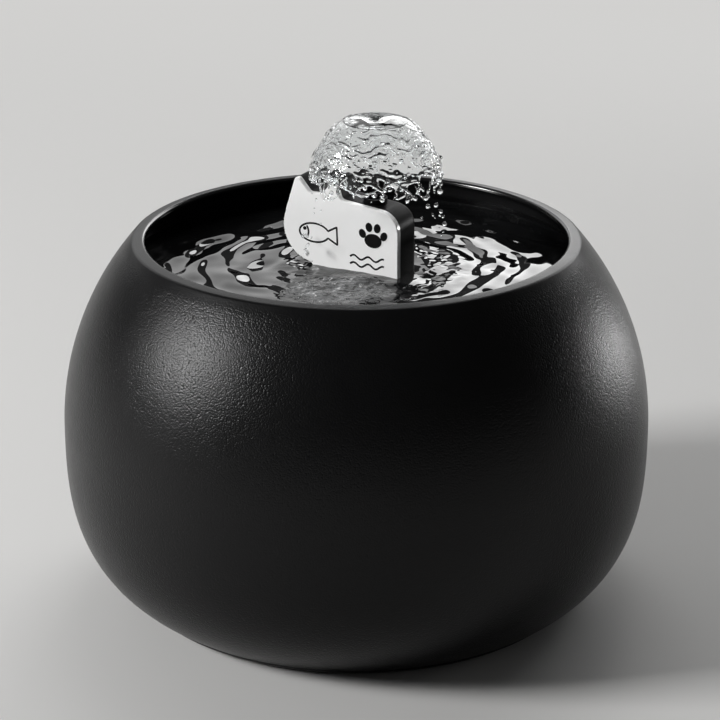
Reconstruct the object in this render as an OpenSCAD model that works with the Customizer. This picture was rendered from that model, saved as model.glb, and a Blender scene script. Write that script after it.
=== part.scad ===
// Water fountain for pets: a stoneware bowl that stands over a wireless power base,
// a lift-out pump module with a slotted filter cage, and a cat-shaped spout on its lid.
// Millimetres, +Z up. The origin lies on the table, under the middle of the bowl.

/* [Bowl] */
// Widest diameter of the bowl
bowl_d = 220; // [210:1:270]
// Height from the table to the top of the lip
bowl_h = 140; // [134:1:175]
// Height of the widest belt above the table
belly_z = 68; // [60:1:84]
// Diameter of the foot where the side meets the table
foot_d = 158; // [150:1:190]
// Diameter of the mouth inside the lip
mouth_d = 156; // [130:1:170]
// Thickness of the bowl's wall
bowl_wall = 6; // [5:0.5:7.5]
// Thickness of the floor over the power base
floor_t = 6.2; // [5:0.1:8]
// Distance from the lip down to the water
freeboard = 11.5; // [8:0.5:20]
// Rounding of the lip's inner edge
lip_in_round = 1.2; // [0.8:0.1:1.6]
// Rounding of the lip's outer edge
lip_out_round = 2; // [1.2:0.1:2.6]

/* [Power base] */
// Diameter of the power base
base_d = 100; // [90:1:122]
// Height of the power base with its feet
base_h = 12; // [11.5:0.1:15]
// Wall thickness of the power base
base_wall = 1.8; // [1.4:0.1:2.4]
// Width of the notch for the lead in the bowl's foot
notch_w = 14; // [13:0.5:20]
// Height of the notch for the lead
notch_h = 9; // [8:0.5:10]

/* [Pump module] */
// Outer diameter of the filter cage
cage_d = 96; // [92:1:118]
// Wall thickness of the filter cage
cage_wall = 2.4; // [1.8:0.1:3]
// Width of one slot in the cage
slot_w = 3.6; // [2.4:0.1:4]
// Slots in each of the four panels of the cage
slots_per_panel = 8; // [4:1:9]
// Depth of the cage's top edge under the water
lid_depth = 23; // [20:0.5:26]
// Height of the sealed receiver pod
pod_h = 12.5; // [12:0.1:16]
// Height of the soft feet under the pod
module_foot_h = 2.5; // [2:0.1:4]

/* [Pump] */
// Outer diameter of the pump body
motor_d = 32; // [31:0.5:40]
// Length of the pump body behind the impeller chamber
motor_l = 22; // [21.5:0.5:25]
// Diameter of the impeller
impeller_d = 22; // [16:0.5:23]
// Number of vanes on the impeller
vane_count = 6; // [4:1:8]
// Depth of the impeller chamber
chamber_depth = 8.4; // [8.2:0.1:9.5]
// Diameter of the ceramic shaft
shaft_d = 2; // [1.6:0.1:2.2]
// Diameter of the rotor magnet
magnet_d = 12.8; // [10:0.1:13]
// Bore of the water way from the pump to the spout
water_bore = 6.4; // [5:0.1:7]
// Outer diameter of the pump's outlet pipe
pipe_d = 9.2; // [9:0.1:9.6]

/* [Filter] */
// Radial depth of the filter cartridge
cartridge_depth = 9.8; // [8:0.1:11]
// Number of pleats in the filter
pleats = 44; // [24:1:52]
// Thickness of the filter fleece
fleece_t = 1.4; // [1:0.1:2]

/* [Cat spout] */
// Turn of the spout away from the front
spout_yaw = 28; // [0:1:60]
// Height from the spout's seat to the tips of its ears
spout_h = 47.5; // [44:0.5:56]
// Width of the spout's body
spout_w = 35.7; // [34:0.1:42]
// Depth of the spout's body behind the face plate
spout_depth = 14.4; // [14:0.1:18]
// Thickness of the white face plate
plate_t = 2; // [1.6:0.1:2.4]
// Rounding of the face plate's front edge
plate_round = 0.9; // [0.4:0.1:1.2]
// Diameter of the head
head_d = 27; // [24:0.5:29]
// Distance from the spout's seat axis to the water outlet
outlet_x = 8.3; // [6:0.1:9]

/* [Water] */
// Diameter of the water bell
bell_d = 48; // [36:1:52]
// Height of the water bell's skirt
bell_h = 21; // [16:0.5:24]
// Height of the bell's flat top above the water outlet
bell_rise = 29.5; // [27:0.5:34]
// Diameter of the bell's flat top
bell_cap_d = 24.6; // [18:0.2:28]
// Thickness of the water sheet
sheet_t = 1.1; // [0.8:0.1:2]

/* [Clearances] */
// Radial clearance of turning and plugged parts
running = 0.05; // [0.02:0.01:0.09]
// Gap between loosely nested parts
gap = 0.3; // [0.2:0.05:0.5]
// Gap between the power base and its pocket in the bowl
pocket_gap = 0.8; // [0.6:0.1:0.95]

/* [Hidden] */
$fn = 96;
eps = 0.01;

// Colours
stoneware = "#1b1b1d";
black_shell = "#26262a";
grey_shell = "#4a4d52";
soft_black = "#141416";
copper = "#b8703c";
ferrite = "#3a3835";
board_green = "#1f5f3a";
steel = "#b9bcc0";
bright_white = "#f4f4f2";
fleece = "#e6e8e4";
water = "#cfe3ee";

// Bowl: an elliptical shoulder over a squarer lower side, joined at the belt
bowl_r = bowl_d / 2;
foot_r = foot_d / 2;
lip_lean = 41;
lip_fall = 0.35;
lip_narrow = 0.2;
side_power = 2.95;
inner_power = 3;
foot_lift = 0.8;
foot_round = 3;
lip_in_mid = [mouth_d / 2 + lip_in_round, bowl_h - lip_in_round];
lip_out_mid = [mouth_d / 2 + bowl_wall - lip_narrow - lip_out_round, bowl_h - lip_fall - lip_out_round];
lip_out = lip_out_mid + lip_out_round * [cos(lip_lean), sin(lip_lean)];
lip_in = lip_in_mid - lip_in_round * [cos(lip_lean), sin(lip_lean)];
inner_r = bowl_r - bowl_wall;
shoulder_h = (lip_out[1] - belly_z) / sqrt(1 - pow(lip_out[0] / bowl_r, 2));
inner_shoulder_h = (lip_in[1] - belly_z) / sqrt(1 - pow(lip_in[0] / inner_r, 2));
side_h = belly_z / pow(1 - pow(foot_r / bowl_r, side_power), 1 / side_power);
pocket_r = base_d / 2 + pocket_gap;
pocket_top = base_h + pocket_gap;
floor_z = pocket_top + floor_t;
floor_margin = 12;
floor_flat_r = cage_d / 2 + floor_margin;
water_z = bowl_h - freeboard;
foot_land = 16;
foot_recess = 2.5;
foot_ring_w = 6;
foot_ring_t = 2;
foot_ring_r = foot_r - foot_land / 2 - 1;

// Power base
base_r = base_d / 2;
base_foot_t = 1.2;
base_foot_d = 12;
base_top_t = 1.4;
base_split = 7;
base_floor = base_foot_t + base_wall;
screw_ring_r = base_r - 10;
screw_d = 2;
screw_head_d = 3.8;
screw_head_h = 1.5;
foot_sink = 0.6;
boss_d = 6.8;
tongue_h = 1.2;
tongue_r = base_r - base_wall - 0.1;
tongue_t = 1.3;
rim_chamfer = 1;
board_t = 1.2;
board_w = 38;
board_l = 22;
board_z = base_floor + 1.4;
board_y = base_r - 25;
board_post_x = 15;
board_post_r = 2;
board_rib_w = 32;
board_rib_t = 1.6;
usb_w = 8.94;
usb_h = 3.26;
usb_l = 7.3;
usb_skin = 0.3;
usb_z = board_z + board_t + usb_h / 2;
usb_face = base_r - 0.8;

// Both flat coils
wire_d = 1.2;
coil_pitch = 1.15;
coil_turns = 12;
coil_in_r = 8;
ferrite_t = 1.2;
ferrite_r = coil_in_r + coil_turns * coil_pitch + 1;
tx_coil_z = base_h - base_top_t - 0.1 - wire_d / 2;

// Receiver pod and cage
cage_r = cage_d / 2;
cage_in_r = cage_r - cage_wall;
pod_r = cage_in_r - gap;
pod_z = floor_z + module_foot_h;
pod_wall = 2;
pod_floor_t = 1.8;
cover_t = 3;
cover_top = pod_z + pod_h;
cover_z = cover_top - cover_t;
pod_floor = pod_z + pod_floor_t;
rx_coil_z = pod_floor + 0.05 + wire_d / 2;
rx_board_z = rx_coil_z + wire_d / 2 + ferrite_t + 1.2;
rx_board_r = ferrite_r + 12;
pod_post_r = ferrite_r + 7;
module_foot_r = cage_in_r - 10;
spigot_h = 2.6;
spigot_t = 2.4;
seal_d = 1.1;
cage_z = pod_z + 2;
lid_z = water_z - lid_depth;
ledge_w = 3.5;
ledge_t = 2;
slot_z = cover_top + ledge_t + 3;
slot_top = lid_z - 7;
slot_bridge = 4;
panel_angle = 78;

// Pump: lies along Y, with its outlet pipe on the bowl's axis, just behind the volute cover
motor_r = motor_d / 2;
saddle_h = 2;
axis_z = cover_top + saddle_h + motor_r;
chamber_r = motor_r - 2.8;
chamber_front = -pipe_d / 2 - gap;
chamber_back = chamber_front + chamber_depth;
motor_wall = 1.8;
cavity_r = motor_r - motor_wall;
motor_back = chamber_back + motor_l;
well_r = magnet_d / 2 + 0.8;
well_wall = 1.4;
well_front = chamber_back + motor_wall;
well_end = motor_back - 2.6;
end_wall_t = 1.6;
cap_plug = 0.9;
cap_t = 2;
flange_r = motor_r + 1;
flange_w = 2.5;
seal_r = chamber_r + 1.7;
shaft_r = shaft_d / 2;
bush_r = 2;
boss_r = 3.2;
head_r = 4;
cover_plate_t = 2;
cover_front = chamber_front - cover_plate_t;
dial_t = 1.6;
dial_r = chamber_r - 0.2;
dial_gap = 0.2;
dial_grips = 24;
dial_grip_r = 0.8;
dial_tab_r = 1.8;
boss_front = cover_front - dial_t - 2 * dial_gap;
head_t = 0.8;
window_in = 4.8;
window_out = 9.6;
window_angle = 30;
window_count = 6;
hub_r = 2.4;
hub_boss_r = 3.4;
impeller_r = impeller_d / 2;
disc_t = 1.2;
vane_t = 1.1;
vane_bend = 8.5;
magnet_front = well_front + 0.7;
magnet_back = well_end - 1.9;
stator_front = magnet_front + 1.5;
stator_back = magnet_back - 1.5;
tooth_w = 3;
tooth_count = 6;
winding_t = 1.3;
shoe_r = well_r + well_wall + 0.15;
shoe_t = 1.1;
yoke_t = 2.5;
yoke_r = cavity_r - 0.05;
winding_out = yoke_r - yoke_t - 0.4;
pin_d = 0.9;
pin_y = stator_back + 3;
pin_pitch = 3;
pipe_r = pipe_d / 2;
bore_r = water_bore / 2;
pipe_top = axis_z + motor_r + 12;
riser_wall = 2;
riser_z = axis_z + flange_r + 1;
riser_top = lid_z - 2.5;
riser_r = pipe_r + running;

// Lid and cartridge
lid_t = 2.2;
lid_rise = 6.5;
lid_overhang = 1;
brim_t = 1.9;
brim_chamfer = 0.7;
finger_l = 20;
finger_r = 1.6;
finger_x = cage_r - 12;
skirt_h = 4;
skirt_t = 2.2;
collar_r = 5;
collar_h = 9;
seat_r = 7;
seat_h = 2;
seat_z = lid_z + lid_rise + seat_h;
nipple_l = 12;
collar_seal_d = 1.1;
cartridge_out = cage_in_r - 0.8;
cartridge_in = cartridge_out - cartridge_depth;
cartridge_top = lid_z - skirt_h;
cartridge_z = cover_top + ledge_t + 2;
ring_t = 2;
rib_w = 1.6;
rib_t = 1.5;
rib_count = 18;
hoop_count = 2;
hoop_t = 1.6;
snap_count = 4;
snap_w = 6;
snap_t = 1.4;
snap_h = 3.4;
barb_h = 1.3;
barb_out = 0.7;
snap_r = cage_in_r - skirt_t - gap / 2;
barb_z = cartridge_top + 1.6;

// Cat spout, drawn in its own frame: X to the right, front towards -Y
figure_front = -(spout_depth / 2 - 0.6);
figure_back = figure_front + spout_depth;
edge_r = 4;
trunk_r = 8;
trunk_left = -14;
trunk_right = trunk_left + spout_w;
trunk_top = seat_z + spout_h - 6;
trunk_drop = 2;
ear_fillet = 2;
cat_head_r = head_d / 2;
head_x = trunk_left + 1.5;
head_z = seat_z + spout_h - 5 - cat_head_r;
ear_x = 7.5;
ear_in = 2.6;
ear_sink = 3;
ear_low = 5.5;
ear_tip_r = 1.3;
ear_base_r = 2;
socket_h = collar_h + 1;
socket_r = collar_r + running;
outlet_y = -0.6;
outlet_r = 4.4;
outlet_seat = 11;
outlet_top = trunk_top - 0.2;
outlet_proud = 0.6;
peg_r = 1.5;
peg_l = 2.8;
peg_spots = [[head_x, head_z], [trunk_right - 8, seat_z + 14]];

// Water bell
bell_r = bell_d / 2;
jet_r = 2.8;
jet_z = outlet_top - 1;
bell_cap_r = bell_cap_d / 2;
bell_top = outlet_top + bell_rise;
cap_rise = 1.3;
funnel_h = 4;

// ---------------------------------------------------------------- helpers

// A tube along Z
module tube(outer, inner, z0, z1) {
    translate([0, 0, z0])
    difference() {
        cylinder(r = outer, h = z1 - z0);
        translate([0, 0, -eps]) cylinder(r = inner, h = z1 - z0 + 2 * eps);
    }
}

// A disc or rod along the pump's axis, from y0 to y1
module along_axis(r, y0, y1) {
    translate([0, y0, axis_z]) rotate([-90, 0, 0]) cylinder(r = r, h = y1 - y0);
}

// A flat shape pushed along the pump's axis, from y0 to y1
module extrude_axis(y0, y1) {
    translate([0, y0, axis_z]) rotate([-90, 0, 0]) linear_extrude(height = y1 - y0) children();
}

// A ring of round section about the pump's axis
module axis_ring(r, section_r, y) {
    translate([0, y, axis_z]) rotate([-90, 0, 0])
    rotate_extrude() translate([r, 0]) circle(r = section_r, $fn = 24);
}

// Copies on a circle, each turned to face outwards
module around(count, r, start = 0) {
    for (i = [0 : count - 1])
        rotate([0, 0, start + i * 360 / count]) translate([r, 0, 0]) children();
}

// A flat ring
module ring_2d(outer, inner) {
    difference() {
        circle(r = outer);
        circle(r = inner);
    }
}

// Wedges that cut a ring into equal windows
module wedges_2d(count, angle, reach) {
    for (i = [0 : count - 1])
        rotate(i * 360 / count)
        polygon([[0, 0], reach * [cos(angle / 2), -sin(angle / 2)],
                 reach * 1.2 * [1, 0], reach * [cos(angle / 2), sin(angle / 2)]]);
}

// The inlet windows shared by the volute cover and the flow dial
module inlet_windows_2d() {
    intersection() {
        ring_2d(window_out, window_in);
        wedges_2d(window_count, window_angle, window_out * 1.3);
    }
}

// A slot with round ends, standing along Y
module slot_2d(w, l) {
    square([w, l - w], center = true);
    translate([0, (l - w) / 2]) circle(r = w / 2, $fn = 24);
    translate([0, -(l - w) / 2]) circle(r = w / 2, $fn = 24);
}

// A straight rod between two points
module rod_between(a, b, r) {
    v = b - a;
    translate(a)
    rotate([0, acos(v[2] / norm(v)), atan2(v[1], v[0])])
    cylinder(r = r, h = norm(v));
}

// A flat coil: touching turns of round wire in one layer
module flat_coil(z) {
    translate([0, 0, z])
    rotate_extrude()
    for (i = [0 : coil_turns - 1])
        translate([coil_in_r + i * coil_pitch, 0]) circle(r = wire_d / 2, $fn = 24);
}

// The places of the four screws and feet of the power base
module base_corners() {
    around(4, screw_ring_r, 45) children();
}

// ---------------------------------------------------------------- bowl

function side_outer(t) =
    [bowl_r * pow(cos(t), 2 / side_power), belly_z - side_h * pow(sin(t), 2 / side_power)];
function shoulder_outer(t) = [bowl_r * cos(t), belly_z + shoulder_h * sin(t)];
function shoulder_inner(t) = [inner_r * cos(t), belly_z + inner_shoulder_h * sin(t)];
function side_inner(t) =
    [floor_flat_r + (inner_r - floor_flat_r) * pow(cos(t), 2 / inner_power),
     belly_z - (belly_z - floor_z) * pow(sin(t), 2 / inner_power)];

// The lip: two rounded edges and the flat between them, which falls a little towards the outside
lip_step = lip_out_mid - lip_in_mid;
lip_crest = atan2(lip_step[1], lip_step[0]) + acos((lip_in_round - lip_out_round) / norm(lip_step));
function edge_arc(mid, r, a) = mid + r * [cos(a), sin(a)];

// The angle at which the lower side reaches a height
function side_angle(z) = asin(pow((belly_z - z) / side_h, side_power / 2));
side_start = side_angle(foot_lift + foot_round * 0.6);
shoulder_end = asin((lip_out[1] - belly_z) / shoulder_h);
inner_end = asin((lip_in[1] - belly_z) / inner_shoulder_h);
side_steps = 16;
shoulder_steps = 16;
lip_out_steps = 5;
lip_in_steps = 7;
foot_edge = side_outer(side_start);

bowl_profile = concat(
    [[0, foot_lift], [foot_edge[0] - foot_round, foot_lift],
     [foot_edge[0] - foot_round * 0.45, foot_lift + foot_round * 0.16]],
    [for (i = [0 : side_steps]) side_outer(side_start * (1 - i / side_steps))],
    [for (i = [1 : shoulder_steps]) shoulder_outer(shoulder_end * i / shoulder_steps)],
    [for (i = [1 : lip_out_steps])
        edge_arc(lip_out_mid, lip_out_round, lip_lean + (lip_crest - lip_lean) * i / lip_out_steps)],
    [for (i = [0 : lip_in_steps - 1])
        edge_arc(lip_in_mid, lip_in_round, lip_crest + (lip_lean + 180 - lip_crest) * i / lip_in_steps)],
    [for (i = [0 : shoulder_steps]) shoulder_inner(inner_end * (1 - i / shoulder_steps))],
    [for (i = [1 : side_steps]) side_inner(90 * i / side_steps)],
    [[0, floor_z]]
);

// The way out for the lead: a notch with rounded upper corners, from the pocket to the rear
module lead_notch(w, h) {
    corner = 3;
    translate([0, pocket_r - 3, 0]) rotate([-90, 0, 0])
    linear_extrude(height = bowl_r) {
        translate([-w / 2, corner - h]) square([w, h - corner + 1]);
        translate([corner - w / 2, -h]) square([w - 2 * corner, corner + 1]);
        for (s = [-1, 1]) translate([s * (w / 2 - corner), corner - h]) circle(r = corner, $fn = 32);
    }
}

module bowl() {
    color(stoneware)
    difference() {
        rotate_extrude() polygon(bowl_profile);
        translate([0, 0, -1]) cylinder(r = pocket_r, h = pocket_top + 1);
        translate([0, 0, -1]) cylinder(r = foot_r - foot_land, h = foot_lift + foot_recess + 1);
        tube(foot_ring_r + foot_ring_w / 2 + running, foot_ring_r - foot_ring_w / 2 - running,
             foot_lift - eps, foot_ring_t);
        lead_notch(notch_w, notch_h);
    }
}

module bowl_foot_ring() {
    color(soft_black)
    difference() {
        tube(foot_ring_r + foot_ring_w / 2, foot_ring_r - foot_ring_w / 2, 0, foot_ring_t);
        translate([-notch_w / 2 - 1, 0, -1]) cube([notch_w + 2, foot_r, foot_ring_t + 2]);
    }
}

// ---------------------------------------------------------------- power base

module usb_opening() {
    translate([0, usb_face - usb_l - gap, usb_z]) rotate([-90, 0, 0])
    linear_extrude(height = usb_l + 6)
    rotate(90) slot_2d(usb_h + gap, usb_w + gap);
}

module base_lower_shell() {
    color(black_shell)
    difference() {
        union() {
            difference() {
                union() {
                    translate([0, 0, base_foot_t + rim_chamfer])
                        cylinder(r = base_r, h = base_split - base_foot_t - rim_chamfer);
                    translate([0, 0, base_foot_t])
                        cylinder(r1 = base_r - rim_chamfer, r2 = base_r, h = rim_chamfer);
                }
                translate([0, 0, base_floor]) cylinder(r = base_r - base_wall, h = base_h);
            }
            base_corners() translate([0, 0, base_foot_t + 0.2])
                cylinder(d = boss_d, h = base_split - base_foot_t - 0.2);
            for (s = [-1, 1]) translate([s * board_post_x, board_y + 9, base_floor - eps])
                cylinder(r = board_post_r, h = board_z - base_floor + eps);
            translate([-board_rib_w / 2, board_y + 1, base_floor - eps])
                cube([board_rib_w, board_rib_t, board_z - base_floor + eps]);
        }
        base_corners() {
            translate([0, 0, base_foot_t - 1]) cylinder(d = base_foot_d + 0.2, h = foot_sink + 1);
            translate([0, 0, base_foot_t]) cylinder(d = screw_head_d + 0.4, h = foot_sink + screw_head_h + 0.2);
            cylinder(d = screw_d + 0.2, h = base_h);
        }
        usb_opening();
    }
}

module base_upper_shell() {
    color(black_shell)
    difference() {
        union() {
            difference() {
                union() {
                    translate([0, 0, base_split]) cylinder(r = base_r, h = base_h - base_split - rim_chamfer);
                    translate([0, 0, base_h - rim_chamfer])
                        cylinder(r1 = base_r, r2 = base_r - rim_chamfer, h = rim_chamfer);
                }
                translate([0, 0, base_split - 1])
                    cylinder(r = tongue_r - tongue_t, h = base_h - base_split + 1 - base_top_t);
            }
            tube(tongue_r, tongue_r - tongue_t, base_split - tongue_h, base_split + 1);
            base_corners() translate([0, 0, base_split + 0.02])
                cylinder(d = boss_d, h = base_h - base_split - 1);
        }
        base_corners() translate([0, 0, base_split - 2])
            cylinder(d = screw_d + 2 * running, h = base_h - base_split + 2 - base_top_t);
        usb_opening();
    }
}

module transmitter_coil() {
    color(copper) flat_coil(tx_coil_z);
}

module transmitter_ferrite() {
    color(ferrite)
    translate([0, 0, tx_coil_z - wire_d / 2 - 0.05 - ferrite_t]) cylinder(r = ferrite_r, h = ferrite_t);
}

module driver_board() {
    top = board_z + board_t;
    color(board_green) {
        intersection() {
            translate([-board_w / 2, board_y, board_z]) cube([board_w, board_l, board_t]);
            translate([0, 0, board_z - 1]) cylinder(r = base_r - base_wall - 1.6, h = board_t + 2);
        }
        translate([-12, board_y + 4, top - eps]) cube([7, 7, 1.2]);
        translate([3, board_y + 3, top - eps]) cube([8, 8, 3.2]);
        translate([15, board_y + 7, top - eps]) cylinder(r = 2.2, h = 3);
        for (x = [-15, -9, 8]) translate([x, board_y + 13, top - eps]) cube([3, 1.6, 0.9]);
    }
}

module usb_inlet() {
    color(steel)
    translate([0, usb_face, usb_z]) rotate([90, 0, 0]) {
        linear_extrude(height = usb_l - 1)
        difference() {
            rotate(90) slot_2d(usb_h, usb_w);
            rotate(90) slot_2d(usb_h - 2 * usb_skin, usb_w - 2 * usb_skin);
        }
        translate([0, 0, usb_l - 1 - eps]) linear_extrude(height = 1) rotate(90) slot_2d(usb_h, usb_w);
        translate([-3.35, -0.35, 0.6]) cube([6.7, 0.7, usb_l - 1.2]);
    }
}

module base_screws() {
    head_z = base_foot_t + foot_sink + 0.1;
    color(steel)
    base_corners()
    difference() {
        union() {
            translate([0, 0, head_z]) cylinder(d = screw_head_d, h = screw_head_h);
            translate([0, 0, head_z + screw_head_h - eps])
                cylinder(d = screw_d, h = base_h - base_top_t - head_z - screw_head_h - 0.4);
        }
        translate([0, 0, head_z - eps]) cylinder(d = 1.8, h = 0.9, $fn = 6);
    }
}

module base_feet() {
    color(soft_black)
    base_corners() {
        cylinder(r1 = base_foot_d / 2 - 0.4, r2 = base_foot_d / 2, h = 0.5);
        translate([0, 0, 0.5 - eps]) cylinder(d = base_foot_d, h = base_foot_t + foot_sink - 0.5 + eps);
    }
}

// ---------------------------------------------------------------- receiver pod

module module_feet() {
    cup_r = 19;
    cup_depth = 0.8;
    color(soft_black)
    around(4, module_foot_r, 45)
    difference() {
        union() {
            translate([0, 0, floor_z]) cylinder(r1 = 7, r2 = 6, h = module_foot_h);
            translate([0, 0, pod_z - eps]) cylinder(r = 2.5, h = 1.2);
        }
        translate([0, 0, floor_z + cup_depth - cup_r]) sphere(r = cup_r);
    }
}

module receiver_tray() {
    color(grey_shell)
    difference() {
        union() {
            tube(pod_r, pod_r - pod_wall, pod_z + 1, cover_z);
            translate([0, 0, pod_z]) cylinder(r1 = pod_r - 1, r2 = pod_r, h = 1 + eps);
            translate([0, 0, pod_z + 1]) cylinder(r = pod_r - pod_wall + eps, h = pod_floor_t - 1);
            around(3, pod_post_r, 90) translate([0, 0, pod_floor - eps])
                cylinder(r = 2.2, h = rx_board_z - pod_floor + eps);
        }
        around(4, module_foot_r, 45) translate([0, 0, pod_z - 1]) cylinder(r = 2.55, h = 1 + 1.25);
    }
}

module receiver_coil() {
    color(copper) flat_coil(rx_coil_z);
}

module receiver_ferrite() {
    color(ferrite)
    translate([0, 0, rx_coil_z + wire_d / 2 + 0.05]) cylinder(r = ferrite_r, h = ferrite_t);
}

module receiver_board() {
    top = rx_board_z + board_t;
    color(board_green) {
        translate([0, 0, rx_board_z]) cylinder(r = rx_board_r, h = board_t);
        translate([-4, -18, top - eps]) cube([8, 8, 1.2]);
        translate([10, -10, top - eps]) cube([6, 6, 1.4]);
        for (x = [-20, -14, 20]) translate([x, 4, top - eps]) cube([3.2, 1.6, 0.9]);
    }
}

module receiver_cover() {
    color(grey_shell)
    difference() {
        union() {
            translate([0, 0, cover_z]) cylinder(r = pod_r, h = cover_t);
            tube(pod_r - pod_wall - 0.1, pod_r - pod_wall - 0.1 - spigot_t, cover_z - spigot_h, cover_z + eps);
            translate([-11, well_front + 2, cover_top - eps]) cube([22, motor_l - 5, saddle_h + motor_r - 11]);
        }
        translate([0, 0, cover_z - spigot_h / 2])
            rotate_extrude() translate([pod_r - pod_wall - seal_d / 2 - 0.05, 0])
            square([seal_d + 0.2, seal_d + 0.1], center = true);
        along_axis(motor_r + running, chamber_front, motor_back + 1);
        pump_pin_holes(pin_d / 2 + running);
    }
}

// The three pins' holes, from the pod into the motor
module pump_pin_holes(r) {
    for (i = [-1 : 1]) translate([i * pin_pitch, pin_y, cover_z - 2])
        cylinder(r = r, h = axis_z - cavity_r + 3.5 - cover_z, $fn = 24);
}

module receiver_seal() {
    color(soft_black)
    translate([0, 0, cover_z - spigot_h / 2])
    rotate_extrude() translate([pod_r - pod_wall - seal_d / 2 - 0.05, 0]) circle(r = seal_d / 2, $fn = 24);
}

module motor_pins() {
    color(steel)
    for (i = [-1 : 1]) translate([i * pin_pitch, pin_y, rx_board_z + board_t])
        cylinder(d = pin_d, h = axis_z - cavity_r + 1.2 - rx_board_z - board_t, $fn = 24);
}

// ---------------------------------------------------------------- pump

module pump_housing() {
    color(black_shell)
    difference() {
        union() {
            along_axis(motor_r, chamber_front, motor_back);
            along_axis(flange_r, chamber_front, chamber_front + flange_w);
            translate([0, 0, axis_z + chamber_r]) cylinder(r = pipe_r, h = pipe_top - axis_z - chamber_r);
        }
        along_axis(chamber_r, chamber_front - 1, chamber_back);
        difference() {
            along_axis(cavity_r, well_front, motor_back + 1);
            along_axis(well_r + well_wall, well_front - 1, well_end + end_wall_t);
        }
        along_axis(well_r, chamber_back - 1, well_end);
        along_axis(bush_r, well_end - 1, well_end + end_wall_t - 0.6);
        translate([0, 0, axis_z]) cylinder(r = bore_r, h = pipe_top);
        translate([0, 0, pipe_top - 1]) cylinder(r1 = bore_r, r2 = pipe_r - 0.4, h = 1 + eps);
        difference() {
            along_axis(seal_r + 0.6, chamber_front - 1, chamber_front + 1);
            along_axis(seal_r - 0.6, chamber_front - 2, chamber_front + 2);
        }
        pump_pin_holes(pin_d / 2 + running);
    }
}

module stator_core() {
    color(steel)
    extrude_axis(stator_front, stator_back) {
        ring_2d(yoke_r, yoke_r - yoke_t);
        for (i = [0 : tooth_count - 1]) rotate(i * 360 / tooth_count)
            translate([shoe_r + shoe_t / 2, -tooth_w / 2]) square([yoke_r - yoke_t / 2 - shoe_r - shoe_t / 2, tooth_w]);
        intersection() {
            ring_2d(shoe_r + shoe_t, shoe_r);
            wedges_2d(tooth_count, 44, shoe_r * 1.5);
        }
    }
}

module stator_windings() {
    start = shoe_r + shoe_t + 0.15;
    outer_w = tooth_w + 0.1 + 2 * winding_t;
    color(copper)
    translate([0, 0, axis_z])
    for (i = [0 : tooth_count - 1])
        rotate([0, i * 360 / tooth_count, 0])
        difference() {
            translate([start, stator_front - winding_t - 0.05, -outer_w / 2])
                cube([winding_out - start, stator_back - stator_front + 2 * winding_t + 0.1, outer_w]);
            translate([start - 1, stator_front - 0.05, -tooth_w / 2 - 0.05])
                cube([winding_out - start + 2, stator_back - stator_front + 0.1, tooth_w + 0.1]);
        }
}

module motor_end_cap() {
    color(black_shell)
    difference() {
        union() {
            along_axis(cavity_r - 0.05, motor_back - cap_plug, motor_back + eps);
            along_axis(motor_r, motor_back, motor_back + cap_t - 0.8);
            translate([0, motor_back + cap_t - 0.8 - eps, axis_z]) rotate([-90, 0, 0])
                cylinder(r1 = motor_r, r2 = motor_r - 0.8, h = 0.8);
        }
        for (i = [0 : 2]) translate([0, motor_back, axis_z]) rotate([0, i * 120, 0])
            translate([0, cap_t - 0.6, motor_r * 0.55]) rotate([-90, 0, 0]) cylinder(r = 2, h = 2, $fn = 32);
    }
}

module rotor_shaft() {
    color(bright_white) along_axis(shaft_r, boss_front + 1.4, well_end + end_wall_t - 0.7);
}

module shaft_bushes() {
    color(soft_black) {
        difference() {
            along_axis(bush_r - 0.02, boss_front + 0.8, chamber_front + 0.9);
            along_axis(shaft_r + 0.02, boss_front + 1.4 - eps, chamber_front + 2);
        }
        difference() {
            along_axis(bush_r - 0.02, well_end - 1.1, well_end + end_wall_t - 0.62);
            along_axis(shaft_r + 0.02, well_end - 2, well_end + end_wall_t);
        }
    }
}

module rotor_magnet() {
    color(ferrite)
    difference() {
        along_axis(magnet_d / 2, magnet_front, magnet_back);
        along_axis(hub_r, magnet_front - 1, magnet_back + 1);
    }
}

module vane_2d() {
    intersection() {
        translate([vane_bend, 0]) ring_2d(vane_bend + vane_t / 2, vane_bend - vane_t / 2);
        circle(r = impeller_r - 0.3);
        translate([-impeller_r, 0]) square([2 * impeller_r, impeller_r]);
    }
}

module impeller() {
    vane_front = chamber_front + 1.4;
    disc_back = chamber_back - 0.6;
    color(bright_white)
    difference() {
        union() {
            along_axis(hub_r, chamber_front + 1.1, magnet_back + 0.5);
            along_axis(hub_boss_r, chamber_front + 1.1, disc_back);
            along_axis(impeller_r, disc_back - disc_t, disc_back);
            along_axis(magnet_d / 2 - 1.4, disc_back - eps, magnet_front);
            extrude_axis(vane_front, disc_back - disc_t + eps)
                for (i = [0 : vane_count - 1]) rotate(i * 360 / vane_count)
                difference() {
                    vane_2d();
                    circle(r = hub_boss_r - 0.4);
                }
        }
        along_axis(shaft_r + running, chamber_front, magnet_back + 1);
    }
}

module volute_cover() {
    color(black_shell)
    difference() {
        union() {
            difference() {
                along_axis(flange_r, cover_front, chamber_front);
                extrude_axis(cover_front - 1, chamber_front + 1) inlet_windows_2d();
            }
            difference() {
                along_axis(chamber_r - 0.1, chamber_front - eps, chamber_front + 0.8);
                along_axis(chamber_r - 1.5, chamber_front - 1, chamber_front + 1);
            }
            along_axis(boss_r, boss_front, chamber_front + 0.5);
            along_axis(head_r, boss_front - head_t, boss_front);
        }
        along_axis(bush_r, boss_front + 0.8, chamber_front + 1);
    }
}

module volute_seal() {
    color(soft_black) axis_ring(seal_r, 0.5, chamber_front + 0.5);
}

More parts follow.
